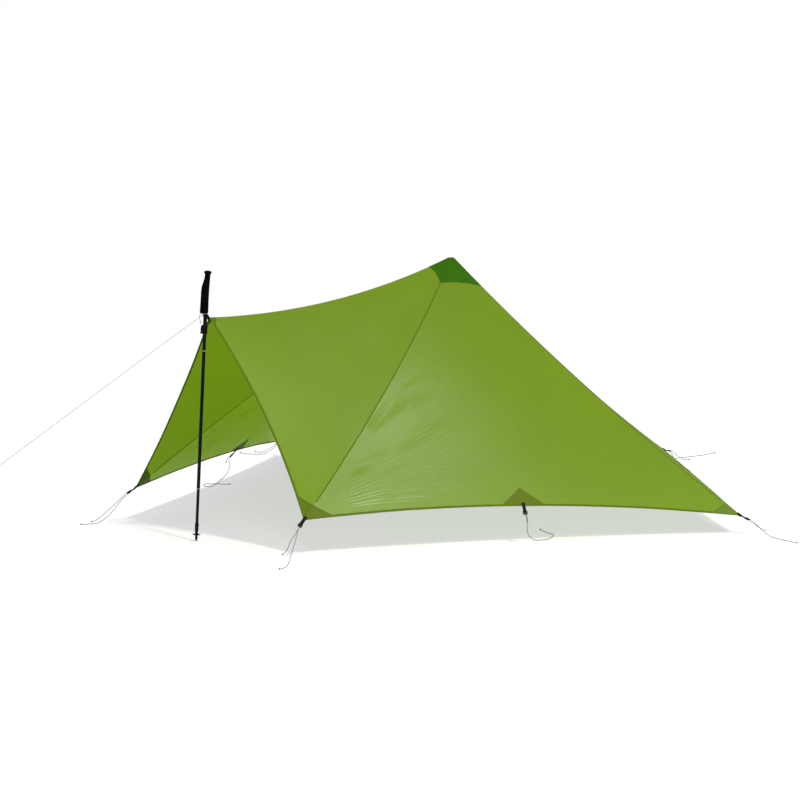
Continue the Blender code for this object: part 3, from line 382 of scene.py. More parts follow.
def tie_out_axes(name):
    """The tie-out's fold point, and its directions out of the cloth, up and across."""
    point, outward, above, turn, _, _ = TIE_OUTS[name]
    point, outward, above = (np.array(v, float) for v in (point, outward, above))
    turn = math.radians(turn)
    along = outward * math.cos(turn) - above * math.sin(turn)
    up = outward * math.sin(turn) + above * math.cos(turn)
    return point, outward, above, along, up


# ---- cords

TAB_LENGTH = 0.030
LOCK_WALL = 0.0046
SLOT_MIDDLE = 0.0119
NOSE = 0.0177
CORD_RADIUS = 0.0013
CORD_GAP = 0.0002
LOWEST_IN_RADII = 1.05
KNOT_STEPS = 48
KNOT_REACH, KNOT_WIDTH, KNOT_DEPTH = 1.05, 0.62, 1.15
KNOT_AHEAD, KNOT_LOWEST, KNOT_TUBE = 2.6, 2.9, 0.92

# The cords' ways from the line-lock, in millimetres: the long run, then the short one
CORD_ROUTES = {
    "front_left": (
        ((-1608, 628, 105), (-1640, 640, 66), (-1676, 652, 30), (-1712, 669, 6), (-1748, 687, 1),
         (-1788, 705, 1)),
        ((-1606, 646, 104), (-1640, 678, 60), (-1678, 712, 16), (-1710, 722, 2)),
    ),
    "front_right": (
        ((-1616, -638, 102), (-1660, -664, 56), (-1706, -694, 20), (-1752, -730, 3), (-1796, -758, 1),
         (-1836, -772, 1)),
        ((-1611, -627, 112), (-1630, -616, 82), (-1628, -598, 52), (-1617, -565, 22), (-1604, -531, 2)),
    ),
    "side_right": (
        ((312, -1700, 46), (322, -1730, 24), (325, -1764, 5), (311, -1821, 1), (296, -1893, 1),
         (288, -1955, 1)),
        ((310, -1696, 54), (318, -1716, 36), (331, -1732, 26)),
    ),
    "rear": (
        ((1714, 10, 34), (1752, 34, 10), (1797, 50, 1), (1897, 38, 1), (1990, 27, 1), (2095, 32, 1)),
        ((1712, 0, 48), (1744, -8, 22), (1776, -24, 6), (1806, -30, 2)),
    ),
    "side_left": (
        ((300, 1686, 40), (284, 1714, 14), (256, 1742, 1), (226, 1770, 1), (210, 1812, 1), (205, 1857, 1)),
        ((303, 1692, 50), (301, 1728, 27), (297, 1765, 10), (293, 1796, 2), (290, 1828, 2)),
    ),
    "right_edge": (
        ((-614, -1100, 118), (-613, -1103, 94), (-608, -1100, 66), (-594, -1094, 38), (-562, -1088, 14),
         (-520, -1086, 1), (-473, -1096, 1), (-421, -1079, 1), (-368, -1040, 1), (-352, -992, 1),
         (-318, -912, 1)),
        ((-617, -1106, 126), (-618, -1110, 108)),
    ),
    "left_edge": (
        ((-452, 1188, 108), (-452, 1180, 78), (-489, 1167, 40), (-552, 1151, 12), (-603, 1124, 4),
         (-643, 1109, 1), (-656, 1134, 1), (-634, 1176, 1), (-601, 1190, 1), (-575, 1165, 1),
         (-548, 1126, 1), (-526, 1096, 1)),
        ((-454, 1198, 116), (-456, 1204, 100)),
    ),
}
GUYLINE_ROUTE = ((-2.010, 0.0, 0.852), (-2.420, 0.0, 0.648), (-2.830, 0.0, 0.444))
HITCH = (-1.597754, 0.0, 1.05025)
HITCH_RADIUS = 0.0111
GUYLINE_RADIUS = 0.0015
GUYLINE_TAIL = ((-1.6058, 0.0076, 1.0503), (-1.6125, 0.0140, 1.0504), (-1.6168, 0.0180, 1.0430),
                (-1.6165, 0.0182, 1.0280), (-1.6140, 0.0160, 1.0125))
HITCH_TURNS = (205, -150)
HITCH_STEPS = 40
HITCH_RISE = 0.0032


def knot(name, point, direction, look, radius):
    """A small overhand knot: a threefold twist of the cord about its own line."""
    direction = unit(direction)
    _, sides = steady_frames(np.array([point, point + direction * 0.01]), np.array((0.2, 0.3, 0.9)))
    one, two = sides[0], np.cross(direction, sides[0])
    t = np.linspace(0, 2 * math.pi, KNOT_STEPS + 1)[:-1]
    reach = KNOT_REACH * radius
    x = (np.sin(t) + 2 * np.sin(2 * t)) * reach * KNOT_WIDTH
    y = (np.cos(t) - 2 * np.cos(2 * t)) * reach * KNOT_WIDTH
    z = -np.sin(3 * t) * reach * KNOT_DEPTH
    center = np.array(point) + direction * KNOT_AHEAD * radius
    center[2] = max(center[2], KNOT_LOWEST * radius)
    line = center + np.outer(z, direction) + np.outer(x, one) + np.outer(y, two)
    line = np.vstack([line, line[:1]])
    return swept(name, tube_sections(line, radius * KNOT_TUBE, 8), look)


def free_cord(name, route, radius, look, node):
    """A round cord along the route, never under the ground, that ends in a knot."""
    route = np.array(route)
    route[:, 2] = np.maximum(route[:, 2], radius * LOWEST_IN_RADII)
    made = swept(name, tube_sections(route, radius), look)
    end = knot(f"{name}_knot", route[-1], route[-1] - route[-2], look, radius)
    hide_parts(node)


def make_cords():
    """Two runs from each line-lock, under and over its bar, and the guyline hitched to the front pole."""
    clear = LOCK_WALL / 2 + CORD_RADIUS + CORD_GAP
    for name, (under, over) in CORD_ROUTES.items():
        point, _, _, along, up = tie_out_axes(name)
        start = point + along * TAB_LENGTH
        short_count = 60 if len(over) > 2 else 24
        for run, lay, rise, route, count in (("long", "loose", -clear, under, 90),
                                             ("short", "hanging", clear, over, short_count)):
            first = [start + along * x + up * z for x, z in
                     ((SLOT_MIDDLE, 0), (SLOT_MIDDLE + CORD_RADIUS, rise), (NOSE + CORD_RADIUS, rise))]
            line = smooth_route([*first, *np.array(route) / 1000], count)
            free_cord(f"{name}_{run}_run", line, CORD_RADIUS, "pale_green_cord", f"{name}_cord")
    center = np.array(HITCH)
    ring = []
    for k, a in enumerate(math.radians(a) for a in np.linspace(*HITCH_TURNS, HITCH_STEPS)):
        rise = HITCH_RISE * k / (HITCH_STEPS - 1) - HITCH_RISE / 2
        ring.append(center + (HITCH_RADIUS * math.cos(a), HITCH_RADIUS * math.sin(a), rise))
    line = smooth_route([ring[-1], *GUYLINE_ROUTE], 40)
    for tag, lay, route in (("run", "taut", np.vstack([ring, line[1:]])),
                            ("tail", "hanging", smooth_route(GUYLINE_TAIL, 30))):
        free_cord(f"front_guyline_{tag}", route, GUYLINE_RADIUS, "pale_guyline", "front_guyline")


make_camera()
make_cords()


# ---- the canopy's shape

RIDGE_SAG = 0.039
FRONT_RIDGE_SAG = 0.067
FRONT_SEAM_LIFT = 0.043
FRONT_SEAM_DRIFT = 0.063
HEM_DEPTH = 0.071
DOOR_HEM_DEPTH = 0.0425
DOOR_HEM_BULGE = 0.010
PANEL_BELLY = 0.010
TOP_SHARE = 0.01702
LEFT_EDGE_SHARE = 0.41
PANEL_HEIGHT = 1.7
SEAM_RUN = 2.0
TURN = 6.28
CREASE_PITCH, CREASE_SLOPE = (0.013, 0.021), (0.035, 0.085)
CREASE_LENGTH, CREASE_WIDTH, CREASE_LEAN = (0.6, 1.4), (1.0, 2.6), (0.7, 1.3)
CREASE_WAVER, WAVER_SHARE = (15, 40), 0.1
LEAST_RHO = 0.02
RIPPLES = 14
# Height, seed, and the shortest and longest wave of the cloth's slow and fine waves
WAVES = ((0.0007, 5, 0.3, 0.8), (0.00008, 6, 0.05, 0.12))
# Height, pitch, and the three rates of change, beside the seams and above the hems
PUCKERS = (0.00035, 0.026, 1.5, 19, 31)
SCALLOPS = (0.0003, 0.034, 2, 9, 23)
PUCKER_FADE, PUCKER_START, SCALLOP_FADE, SEAM_FADE, TOP_FADE_SHARE = 0.012, 0.003, 0.02, 0.006, 0.12


def square_to(start, end, toward):
    along = unit(end - start)
    return unit(toward - along * (toward @ along))


def seam(name):
    """The curve of a seam from the peak, as points for shares of its length."""
    corner = CORNERS[name]
    down = square_to(PEAK, corner, np.array((0, 0, -1.0)))
    if name.startswith("front"):
        side = CORNERS[name.replace("front", "side")] - PEAK
        bow = square_to(PEAK, corner, side) * FRONT_SEAM_DRIFT - down * FRONT_SEAM_LIFT
    else:
        bow = down * (FRONT_RIDGE_SAG if name == "door" else RIDGE_SAG)
    return lambda t: PEAK + (corner - PEAK) * np.asarray(t)[..., None] + bow * (4 * t * (1 - t))[..., None]


SEAMS = {name: seam(name) for name in CORNERS if name != "peak"}


def creases(rho, theta, seed, strength, groups):
    """Short fine creases that spread from a corner: rho away from it, theta from its seam."""
    rng = np.random.default_rng(seed)
    height = np.zeros_like(rho)
    for far, turned, reach, spread, long, count, lean in groups:
        for _ in range(count):
            middle, turn = far + rng.uniform(-1, 1) * reach, turned + rng.uniform(-1, 1) * spread
            pitch, slope = rng.uniform(*CREASE_PITCH), rng.uniform(*CREASE_SLOPE)
            length, width = long * rng.uniform(*CREASE_LENGTH), rng.uniform(*CREASE_WIDTH) * pitch / middle
            away = np.log(np.maximum(rho, LEAST_RHO) / middle)
            bent = theta - turn - lean * rng.uniform(*CREASE_LEAN) * away
            waver = np.sin(rho * rng.uniform(*CREASE_WAVER) + rng.uniform(0, TURN))
            bent = bent + WAVER_SHARE * pitch * waver
            window = np.exp(-((rho - middle) / length) ** 2 - (bent / width) ** 2)
            height += slope * pitch / TURN * np.cos(TURN * middle / pitch * bent) * window
    return strength * height


def ripples(x, y, seed, low, high):
    """A smooth random field from waves of low to high wavelength."""
    rng = np.random.default_rng(seed)
    field = np.zeros(np.broadcast(x, y).shape)
    for _ in range(RIPPLES):
        a, k = rng.uniform(0, TURN), TURN / rng.uniform(low, high)
        field += np.sin(k * (x * math.cos(a) + y * math.sin(a)) + rng.uniform(0, TURN))
    return field / math.sqrt(RIPPLES)


def wavering(run, height, pitch, sway, slow, swell):
    """A wave along a line, whose pitch and height both vary slowly."""
    wave = np.sin(run * TURN / pitch + sway * np.sin(run * slow))
    return height * (wave * (0.6 + 0.4 * np.sin(run * swell)))


# Distance from the corner, angle from its seam, spread of both, length, count and lean of each group
FRONT_CREASES = ((0.50, 0.53, 0.20, 0.06, 0.26, 9, 0.16), (0.55, 0.70, 0.22, 0.08, 0.16, 14, 0.12),
                 (0.84, 0.40, 0.16, 0.09, 0.10, 20, 0.05), (0.48, 0.32, 0.14, 0.06, 0.08, 12, 0.10),
                 (0.70, 0.10, 0.10, 0.025, 0.10, 9, 0.11), (0.92, 0.18, 0.11, 0.05, 0.09, 12, 0.10))
BACK_CREASES = ((0.45, 0.50, 0.22, 0.25, 0.12, 14, 0.08), (0.75, 0.35, 0.18, 0.15, 0.10, 8, 0.08))
DOOR_CREASES = ((0.35, 0.25, 0.18, 0.20, 0.10, 10, 0.05),)
# Seed, strength and groups of the creases at the left and right ends of each cloth
FANS = {
    ("front_right", "side_right"): ((11, 1.9, FRONT_CREASES), (12, 0.4, BACK_CREASES)),
    ("side_left", "front_left"): ((22, 0.4, BACK_CREASES), (21, 1.7, FRONT_CREASES)),
    ("door", "front_right"): ((32, 0.5, DOOR_CREASES), (31, 0.3, DOOR_CREASES)),
    ("front_left", "door"): ((41, 0.3, DOOR_CREASES), (42, 0.5, DOOR_CREASES)),
    ("side_right", "rear"): ((51, 0.6, BACK_CREASES), (52, 0.6, BACK_CREASES)),
    ("rear", "side_left"): ((61, 0.6, BACK_CREASES), (62, 0.6, BACK_CREASES)),
}


class Cloth:
    """The cloth between two seams: u runs from left to right and v from the peak to the hem."""

    def __init__(self, left, right):
        self.left, self.right = left, right
        start, end = CORNERS[left], CORNERS[right]
        normal = unit(np.cross(start - PEAK, end - PEAK))
        self.normal = normal if normal[2] > 0 else -normal
        inward = square_to(start, end, PEAK - start)
        self.belly = self.normal * (0.0 if "rear" in (left, right) else PANEL_BELLY)
        door = "door" in (left, right)
        self.hem = inward * DOOR_HEM_DEPTH + self.normal * DOOR_HEM_BULGE if door else inward * HEM_DEPTH
        self.inward = inward
        self.along = unit(end - start)

    def plain(self, u, v):
        u, v = np.broadcast_arrays(np.asarray(u, float), np.asarray(v, float))
        start, end = SEAMS[self.left](v), SEAMS[self.right](v)
        dome = (4 * u * (1 - u))[..., None]
        down = v[..., None]
        sag = down**2 * self.hem + 4 * down * (1 - down) * self.belly
        return start + (end - start) * u[..., None] + dome * sag

    def facing(self, u, v):
        step = 1e-4
        u, v = np.broadcast_arrays(np.asarray(u, float), np.asarray(v, float))
        across = self.plain(u + step, v) - self.plain(u - step, v)
        down = self.plain(u, v + step) - self.plain(u, v - step)
        normal = unit(np.cross(across, down))
        return normal * np.sign(normal @ self.normal)[..., None]

    def flat(self, points):
        offset = points - PEAK
        return offset @ self.along, -(offset @ self.inward)

    def relief(self, u, v, points):
        """Height of the creases: fans from the corners, puckers by the seams and slow waves."""
        x, y = self.flat(points)
        width = np.linalg.norm(SEAMS[self.left](v) - SEAMS[self.right](v), axis=-1)
        height = sum(tall * ripples(x, y, *wave) for tall, *wave in WAVES)
        ends = (self.left, self.right)
        for corner, other, fan in zip(ends, reversed(ends), FANS[ends]):
            offset = points - CORNERS[corner]
            up_seam = unit(PEAK - CORNERS[corner])
            aside = square_to(CORNERS[corner], PEAK, CORNERS[other] - CORNERS[corner])
            theta = np.arctan2(offset @ aside, offset @ up_seam)
            height = height + creases(np.linalg.norm(offset, axis=-1), theta, *fan)
        near = np.minimum(u, 1 - u) * width
        fade = np.exp(-near / PUCKER_FADE) * (1 - np.exp(-near / PUCKER_START))
        height = height + wavering(v * SEAM_RUN, *PUCKERS) * fade
        below = (1 - v) * PANEL_HEIGHT
        height = height + wavering(x, *SCALLOPS) * np.exp(-below / SCALLOP_FADE)
        return height * (1 - np.exp(-near / SEAM_FADE)) * np.clip(v / TOP_FADE_SHARE, 0, 1)

    def __call__(self, u, v, lift=0.0):
        points = self.plain(u, v)
        u, v = np.broadcast_arrays(np.asarray(u, float), np.asarray(v, float))
        height = self.relief(u, v, points) + np.asarray(lift)
        return points + self.facing(u, v) * height[..., None]


CLOTHS = {pair: Cloth(*pair) for pair in FANS}


def side_of(corner, other):
    """The cloth with this corner on one side, and whether that is its left side."""
    return (CLOTHS[corner, other], True) if (corner, other) in CLOTHS else (CLOTHS[other, corner], False)


def facing_from(corner, other, share, v):
    made, left = side_of(corner, other)
    return made.facing(share if left else 1 - share, v)


def from_corner(corner, other, share, v, lift):
    made, left = side_of(corner, other)
    return made(share if left else 1 - share, v, lift)


PANELS = {
    "front_panel": (("front_left", "door", "front_right"), (2.12, 1.66), 1.56),
    "right_panel": (("front_right", "side_right"), (2.10, 1.69), 1.69),
    "rear_right_panel": (("side_right", "rear"), (2.10, 1.71), 1.71),
    "rear_left_panel": (("rear", "side_left"), (2.10, 1.71), 1.71),
    "left_panel": (("side_left", "front_left"), (2.10, 1.69), 1.69),
}


def grid_piece(name, points, look, uvs, **options):
    rows, columns = points.shape[:2]
    faces = grid_faces(rows, columns)
    return piece(name, points.reshape(-1, 3), faces, look, uvs.reshape(-1, 2), **options)


def shares(*runs):
    """Shares in runs of (start, stop, count), each run with its own spacing."""
    return np.concatenate([np.linspace(*run, endpoint=False) for run in runs] + [[1.0]])


# Shares across and down each panel: finer where the cloth has its creases
ACROSS = {
    "right_panel": shares((0, 0.46, 220), (0.46, 1, 90)),
    "left_panel": shares((0, 0.54, 90), (0.54, 1, 220)),
    "front_panel": shares((0, 1, 110)),
}
DOWN = {
    "right_panel": shares((TOP_SHARE, 0.42, 70), (0.42, 1, 230)),
    "left_panel": shares((TOP_SHARE, 0.42, 70), (0.42, 1, 230)),
}


def make_panels():
    made = {}
    for name, (seams, _, _) in PANELS.items():
        parts, maps = [], []
        v = DOWN.get(name, shares((TOP_SHARE, 1, 170)))[:, None]
        u = ACROSS.get(name, shares((0, 1, 190)))[None, :]
        for i, pair in enumerate(zip(seams, seams[1:])):
            points = CLOTHS[pair](u[:, min(i, 1):], v)
            parts.append(points)
            maps.append(np.stack(CLOTHS[pair].flat(points), axis=-1))
        look = "rear_cloth" if name.startswith("rear") else "green_cloth"
        made[name] = grid_piece(name + "_cloth", np.concatenate(parts, axis=1), look,
                                np.concatenate(maps, axis=1), nodes=[name])
    return made


def stitches(name, points, normals, lift=0.0003):
    """Short threads that lie along a line, one pitch apart, at a lift over it."""
    pitch, length, width, height, sink = 0.0042, 0.0030, 0.0006, 0.0004, 1.6
    points, normals = points + normals * lift, unit(normals)
    lengths = run_lengths(points)
    verts, faces, uvs = [], [], []
    for k in range(int(lengths[-1] / pitch)):
        at = k * pitch
        start, end = (np.array([np.interp(place, lengths, points[:, c]) for c in range(3)])
                      for place in (at, at + length))
        up = normals[min(int(np.searchsorted(lengths, at)), len(points) - 1)]
        side = unit(np.cross(end - start, up)) * width / 2
        middle = (start + end) / 2 + up * height
        sunk = up * height * sink
        base = len(verts)
        verts += [start, middle - side, middle + side, end, middle - side - sunk, middle + side - sunk]
        uvs += [(0, 0), (0, length / 2), (width, length / 2), (0, length),
                (0, 0), (width, 0)]
        faces += [tuple(base + c for c in face) for face in
                  ((0, 2, 1), (3, 1, 2), (0, 1, 4), (3, 4, 1), (0, 5, 2), (3, 2, 5), (0, 4, 5), (3, 5, 4))]
    return piece(name, verts, faces, "thread", uvs)


# Share of the half width, and height over the cloth, across the fold
SEAM_SECTION = ((-1.0, 0.0002), (-0.9, 0.0006), (-0.5, 0.0007), (0.0, 0.0009),
                (0.5, 0.0007), (0.9, 0.0006), (1.0, 0.0002))


def make_seam(name, one_side, other_side):
    """A felled seam: a flat fold astride the seam, with two rows of stitches."""
    steps, half = 260, 0.0040
    stitch_share, stitch_lift, side_share = 0.62, 0.0008, 0.001
    v = np.linspace(0.093, 0.94, steps)

    def place(offset, lift):
        other = one_side if offset < 0 else other_side
        width = np.linalg.norm(SEAMS[name](v) - SEAMS[other](v), axis=-1)
        return from_corner(name, other, abs(offset) * half / width, v, np.full(steps, lift))

    top = [place(offset, lift) for offset, lift in SEAM_SECTION]
    bottom = [place(offset, -lift) for offset, lift in reversed(SEAM_SECTION)]
    made = [swept(f"{name}_seam", np.stack(top + bottom, axis=1), "hem_cloth")]
    for k, (way, other) in enumerate(((-1, one_side), (1, other_side))):
        normals = facing_from(name, other, np.full(steps, side_share), v)
        line = place(way * stitch_share, stitch_lift)
        made.append(stitches(f"{name}_seam_stitches_{k + 1}", line, normals, 0))
    return made


HEM_WIDTH, HEM_EDGE = 0.011, 0.0006
# Distance from the edge and height over the cloth, over the roll
HEM_SECTION = ((-HEM_EDGE, 0.0005), (HEM_EDGE, 0.0010), (0.5 * HEM_WIDTH, 0.0009),
               (HEM_WIDTH - HEM_EDGE, 0.0008), (HEM_WIDTH, 0.0002))


def make_hem(name, seams):
    """A rolled hem along a panel's lower edge, sewn by one row of stitches."""
    made = []
    steps, stitch_inset, stitch_lift = 240, 0.0022, 0.0010
    u, ones = np.linspace(0.004, 0.996, steps), np.ones(steps)
    *under, first = [(a, -b) for a, b in reversed(HEM_SECTION)]
    rolled = (first, *HEM_SECTION, *under)
    for i, pair in enumerate(zip(seams, seams[1:])):
        cloth = CLOTHS[pair]
        edge, inner = cloth(u, ones), cloth(u, ones - 0.006)
        along = tangents(edge)
        inward = unit(inner - edge)
        inward = unit(inward - along * np.sum(inward * along, axis=1, keepdims=True))
        normal = unit(np.cross(along, inward))
        normal *= np.sign(np.sum(normal * cloth.facing(u, ones), axis=1, keepdims=True))
        sections = np.stack([edge + a * inward + b * normal for a, b in rolled], axis=1)
        tag = f"{name}_hem" if len(seams) == 2 else f"{name}_hem_{i + 1}"
        made.append(swept(tag, sections, "hem_cloth"))
        line = edge + inward * (HEM_WIDTH - stitch_inset)
        made.append(stitches(tag + "_stitches", line, normal, stitch_lift))
    return made


RING = ("door", "front_right", "side_right", "rear", "side_left", "front_left")


def neighbours(corner):
    """The next corners on either side, in the order of the ring."""
    k = RING.index(corner)
    return RING[k - 1], RING[(k + 1) % len(RING)]


CAP_REACH = 0.228
CAP_FRONT_REACH = 0.165
CAP_EDGE_SHARE = 0.045
TIP_DROP = 0.007
CAP_LIFT, CAP_TUCK, CAP_TUCK_START = 0.0012, 0.0006, 1.97
CAP_COLUMNS, CAP_RINGS = 30, 44
WELD = 0.0001


def cap_share(corner):
    reach = CAP_FRONT_REACH if corner == "door" else CAP_REACH
    return reach / np.linalg.norm(CORNERS[corner] - PEAK)


def make_cap():
    """The cap over the peak: its rim follows the panels, and its top is drawn up to a round tip."""
    tip = PEAK - np.array((0, 0, TIP_DROP))
    steps = np.linspace(0, 2, CAP_RINGS)[:, None]
    share = np.arange(CAP_COLUMNS)[None, :] / CAP_COLUMNS
    parts, normals = [], []
    for left in RING:
        right = neighbours(left)[1]
        reach = cap_share(left) * (1 - share) + cap_share(right) * share
        edge = reach * (1 - CAP_EDGE_SHARE * 4 * share * (1 - share))
        v = TOP_SHARE + (edge - TOP_SHARE) * np.maximum(0, steps - 1)
        lift = CAP_LIFT - CAP_TUCK * (steps > CAP_TUCK_START) + 0 * share
        rim = from_corner(left, right, share, v, lift)
        nearness = np.maximum(0, 1 - steps)
        points = rim + (tip - rim) * nearness[..., None]
        points[..., 2] = tip[2] + (rim[..., 2] - tip[2]) * (1 - nearness) ** 2
        parts.append(points)
        normals.append(facing_from(left, right, share[0], v[-1]))
    rows = np.concatenate(parts, axis=1)
    faces = grid_faces(CAP_RINGS, len(RING) * CAP_COLUMNS, wrap=True)
    cap = piece("peak_cap_cloth", rows.reshape(-1, 3), faces, "dark_green_cloth",
                rows[..., :2].reshape(-1, 2), nodes=["peak_cap"])
    welded = bmesh.new()
    welded.from_mesh(cap.data)
    bmesh.ops.remove_doubles(welded, verts=welded.verts, dist=WELD)
    welded.to_mesh(cap.data)
    welded.free()
    cap.data.shade_smooth()
    line, normals = (np.vstack([ring, ring[:1]]) for ring in (rows[-3], np.concatenate(normals)))
    return cap, stitches("peak_cap_stitches", line, normals)


SEAM_REACH, HEM_REACH = 0.096, 0.150
DOOR_SEAM_REACH, DOOR_HEM_REACH = 0.038, 0.060
DOOR_EDGE_REACH = 0.127


def patch_reaches(corner, other):
    """How far a corner's patch reaches up its seam, and along the hem towards another corner."""
    if corner == "door":
        return DOOR_SEAM_REACH, DOOR_HEM_REACH
    return SEAM_REACH, DOOR_EDGE_REACH if other == "door" else HEM_REACH


def make_patches():
    """A second layer over each corner, pulled into puckers by its stitches."""
    steps, rings, inset = 28, 34, 0.0015
    rise, puckered, tuck = 0.0012, 0.0004, 0.0005
    a = np.linspace(0, 1, steps)[None, :]
    out = np.linspace(0.08, 1.0, rings)[:, None]
    pucker = np.sin(a * 23 + 2 * np.sin(a * 7 + out * 3)) * (1 - a) * a * 4
    lift = rise + puckered * pucker * out - tuck * (out > 0.985)
    for corner in RING:
        length = np.linalg.norm(CORNERS[corner] - PEAK)
        sides = []
        for other in neighbours(corner):
            up_seam, along_hem = patch_reaches(corner, other)
            hem = np.linalg.norm(CORNERS[corner] - CORNERS[other])
            v = 1 - (up_seam * out * (1 - a) + inset) / length
            sides.append(from_corner(corner, other, along_hem * out * a / hem, v, lift))
        fold = (sides[0][:, :1] + sides[1][:, :1]) / 2
        rows = np.concatenate([sides[0][:, :0:-1], fold, sides[1][:, 1:]], axis=1)
        uvs = np.stack((np.linspace(-1, 1, 2 * steps - 1)[None, :] * out * along_hem,
                        out * up_seam + 0 * rows[..., 0]), axis=-1)
        look = "patch_cloth" if corner in ("door", "front_left", "front_right") else "corner_cloth"
        patch = grid_piece(f"{corner}_patch_cloth", rows, look, uvs, nodes=[f"{corner}_patch"])
        line = rows[-4]
        normals = np.cross(np.gradient(line, axis=0), rows[-6] - line)
        normals = unit(normals) * np.sign(normals[:, 2:3])
        thread = stitches(f"{corner}_patch_stitches", line, normals)


EDGE_PATCHES = {
    "right_edge": ("front_right", "side_right", 0.5),
    "rear_right_edge": ("side_right", "rear", 0.5),
    "rear_left_edge": ("rear", "side_left", 0.5),
    "left_edge": ("side_left", "front_left", LEFT_EDGE_SHARE),
}


def make_edge_patches():
    """A triangle of a second layer behind each tie-out in the middle of a hem."""
    half, tip, tall = 0.110, 0.003, 0.117
    columns, rings = 26, 22
    inset_share, lift, pucker = 0.0016, 0.0009, 0.0003
    steps = np.linspace(-1, 1, columns)
    for name, (left, right, share) in EDGE_PATCHES.items():
        cloth = CLOTHS[left, right]
        width = np.linalg.norm(CORNERS[left] - CORNERS[right])
        rows = []
        for t in np.linspace(0, 1, rings):
            span = half * (1 - t) + tip * t
            u = share + np.linspace(-span, span, columns) / width
            v = np.full(columns, 1 - inset_share - t * tall / PANEL_HEIGHT)
            rows.append(cloth(u, v, lift + pucker * np.sin(steps * 17) * (1 - t)))
        rows = np.array(rows)
        patch = grid_piece(f"{name}_patch_cloth", rows, "patch_cloth", np.stack(cloth.flat(rows), axis=-1))
        inner = np.concatenate((rows[2:-1, 1], rows[-2:1:-1, -2]))
        normals = cloth.facing(np.full(len(inner), share), np.full(len(inner), 0.97))
        thread = stitches(f"{name}_patch_stitches", inner, normals)


SEAM_OWNERS = {"front_right": "right_panel", "side_right": "right_panel", "rear": "rear_right_panel",
               "side_left": "left_panel", "front_left": "left_panel"}


def make_canopy():
    panels = make_panels()
    threads = {name: make_hem(name, seams) for name, (seams, _, _) in PANELS.items()}
    for corner, panel in SEAM_OWNERS.items():
        threads[panel] += make_seam(corner, *neighbours(corner))
    cap, thread = make_cap()
    make_patches()
    make_edge_patches()


make_canopy()


# ---- webbing and line-locks

WEBBING_WIDTH = 0.0160
LOOP_WIDTH = 0.0125
WEBBING_WALL = 0.0011
LEG, JOIN, BAR = 0.020, 0.008, 0.0033
LEG_SHARES = (1, 0.66, 0.33, 0.05)
STRAP = (JOIN, 0.013, 0.019, 0.0235)
STRAP_GAP_SHARE = 0.55
BAR_TURN = 118
CORNER_LEG_OVER, CORNER_LEG_UNDER = 0.0027, 0.0010
EDGE_LEG_OVER, EDGE_LEG_UNDER = 0.0024, 0.0016
TACKS, TACK_START, TACK_PITCH, TACK_SHARE = 7, 0.004, 0.0022, 0.38
TACK_WIDTH, TACK_HEIGHT = 0.0007, 0.0005


def bar_tack(start, end, up):
    """The corners and faces of one straight thread."""
    side = unit(np.cross(end - start, up)) * TACK_WIDTH / 2
    points = [start - side, start + side, end + side, end - side]
    points += [p + unit(up) * TACK_HEIGHT for p in points]
    return points, [(0, 3, 2, 1), (4, 5, 6, 7), (0, 1, 5, 4), (1, 2, 6, 5), (2, 3, 7, 6), (3, 0, 4, 7)]


def make_tab(name):
    """One run of webbing: sewn over and under the cloth's edge, and doubled round the line-lock's bar."""
    point, outward, leg_up, along, up = tie_out_axes(name)
    *_, above, below = TIE_OUTS[name]

    def on_cloth(s, side):
        if name in CORNERS:
            height = above + CORNER_LEG_OVER if side > 0 else -below - CORNER_LEG_UNDER
            return point - outward * LEG * s + leg_up * height
        left, right, share = EDGE_PATCHES[name]
        height = EDGE_LEG_OVER if side > 0 else -EDGE_LEG_UNDER
        return CLOTHS[left, right](share, 1 - LEG * s / PANEL_HEIGHT, height)

    rise = up * (WEBBING_WALL * STRAP_GAP_SHARE)
    top = [on_cloth(s, 1) for s in LEG_SHARES]
    strap = [point + along * s + rise for s in STRAP]
    turns = [math.radians(a) for a in np.linspace(BAR_TURN, -BAR_TURN, 13)]
    loop = [point + along * (TAB_LENGTH + BAR * math.cos(a)) + up * BAR * math.sin(a) for a in turns]
    back = [point + along * s - rise for s in reversed(STRAP)]
    bottom = [on_cloth(s, -1) for s in reversed(LEG_SHARES)]
    line = smooth_route([*top, *strap, *loop, *back, *bottom], 110)
    across = np.cross(outward, leg_up)
    sides = np.tile(across, (len(line), 1))
    normals = unit(np.cross(sides, tangents(line)))
    swept(f"{name}_webbing", ribbon_sections(line, sides, normals, WEBBING_WIDTH, WEBBING_WALL),
          "black_webbing", nodes=[f"{name}_tab"])
    verts, faces = [], []
    for row in range(TACKS):
        center = on_cloth((TACK_START + row * TACK_PITCH) / LEG, 1) + leg_up * WEBBING_WALL * 0.5
        reach = across * WEBBING_WIDTH * TACK_SHARE
        points, sides = bar_tack(center - reach, center + reach, leg_up)
        faces += [tuple(len(verts) + c for c in face) for face in sides]
        verts += points
    piece(f"{name}_bar_tacks", verts, faces, "thread_black", [(0, 0)] * len(verts))


LOOP_CENTER = (-1.59843, 0.0, 1.03995)
LOOP_RADIUS = 0.0104
LOOP_LEG = 0.018
LOOP_TURNS = (35, 325)
LOOP_SIDE, LOOP_SINK = 0.0085, 0.0022
DOOR_WIDTH, RIDGE_LENGTH = 1.06, 1.588
TWIST_START_SHARE, TWIST_SHARE = 0.24, 0.12


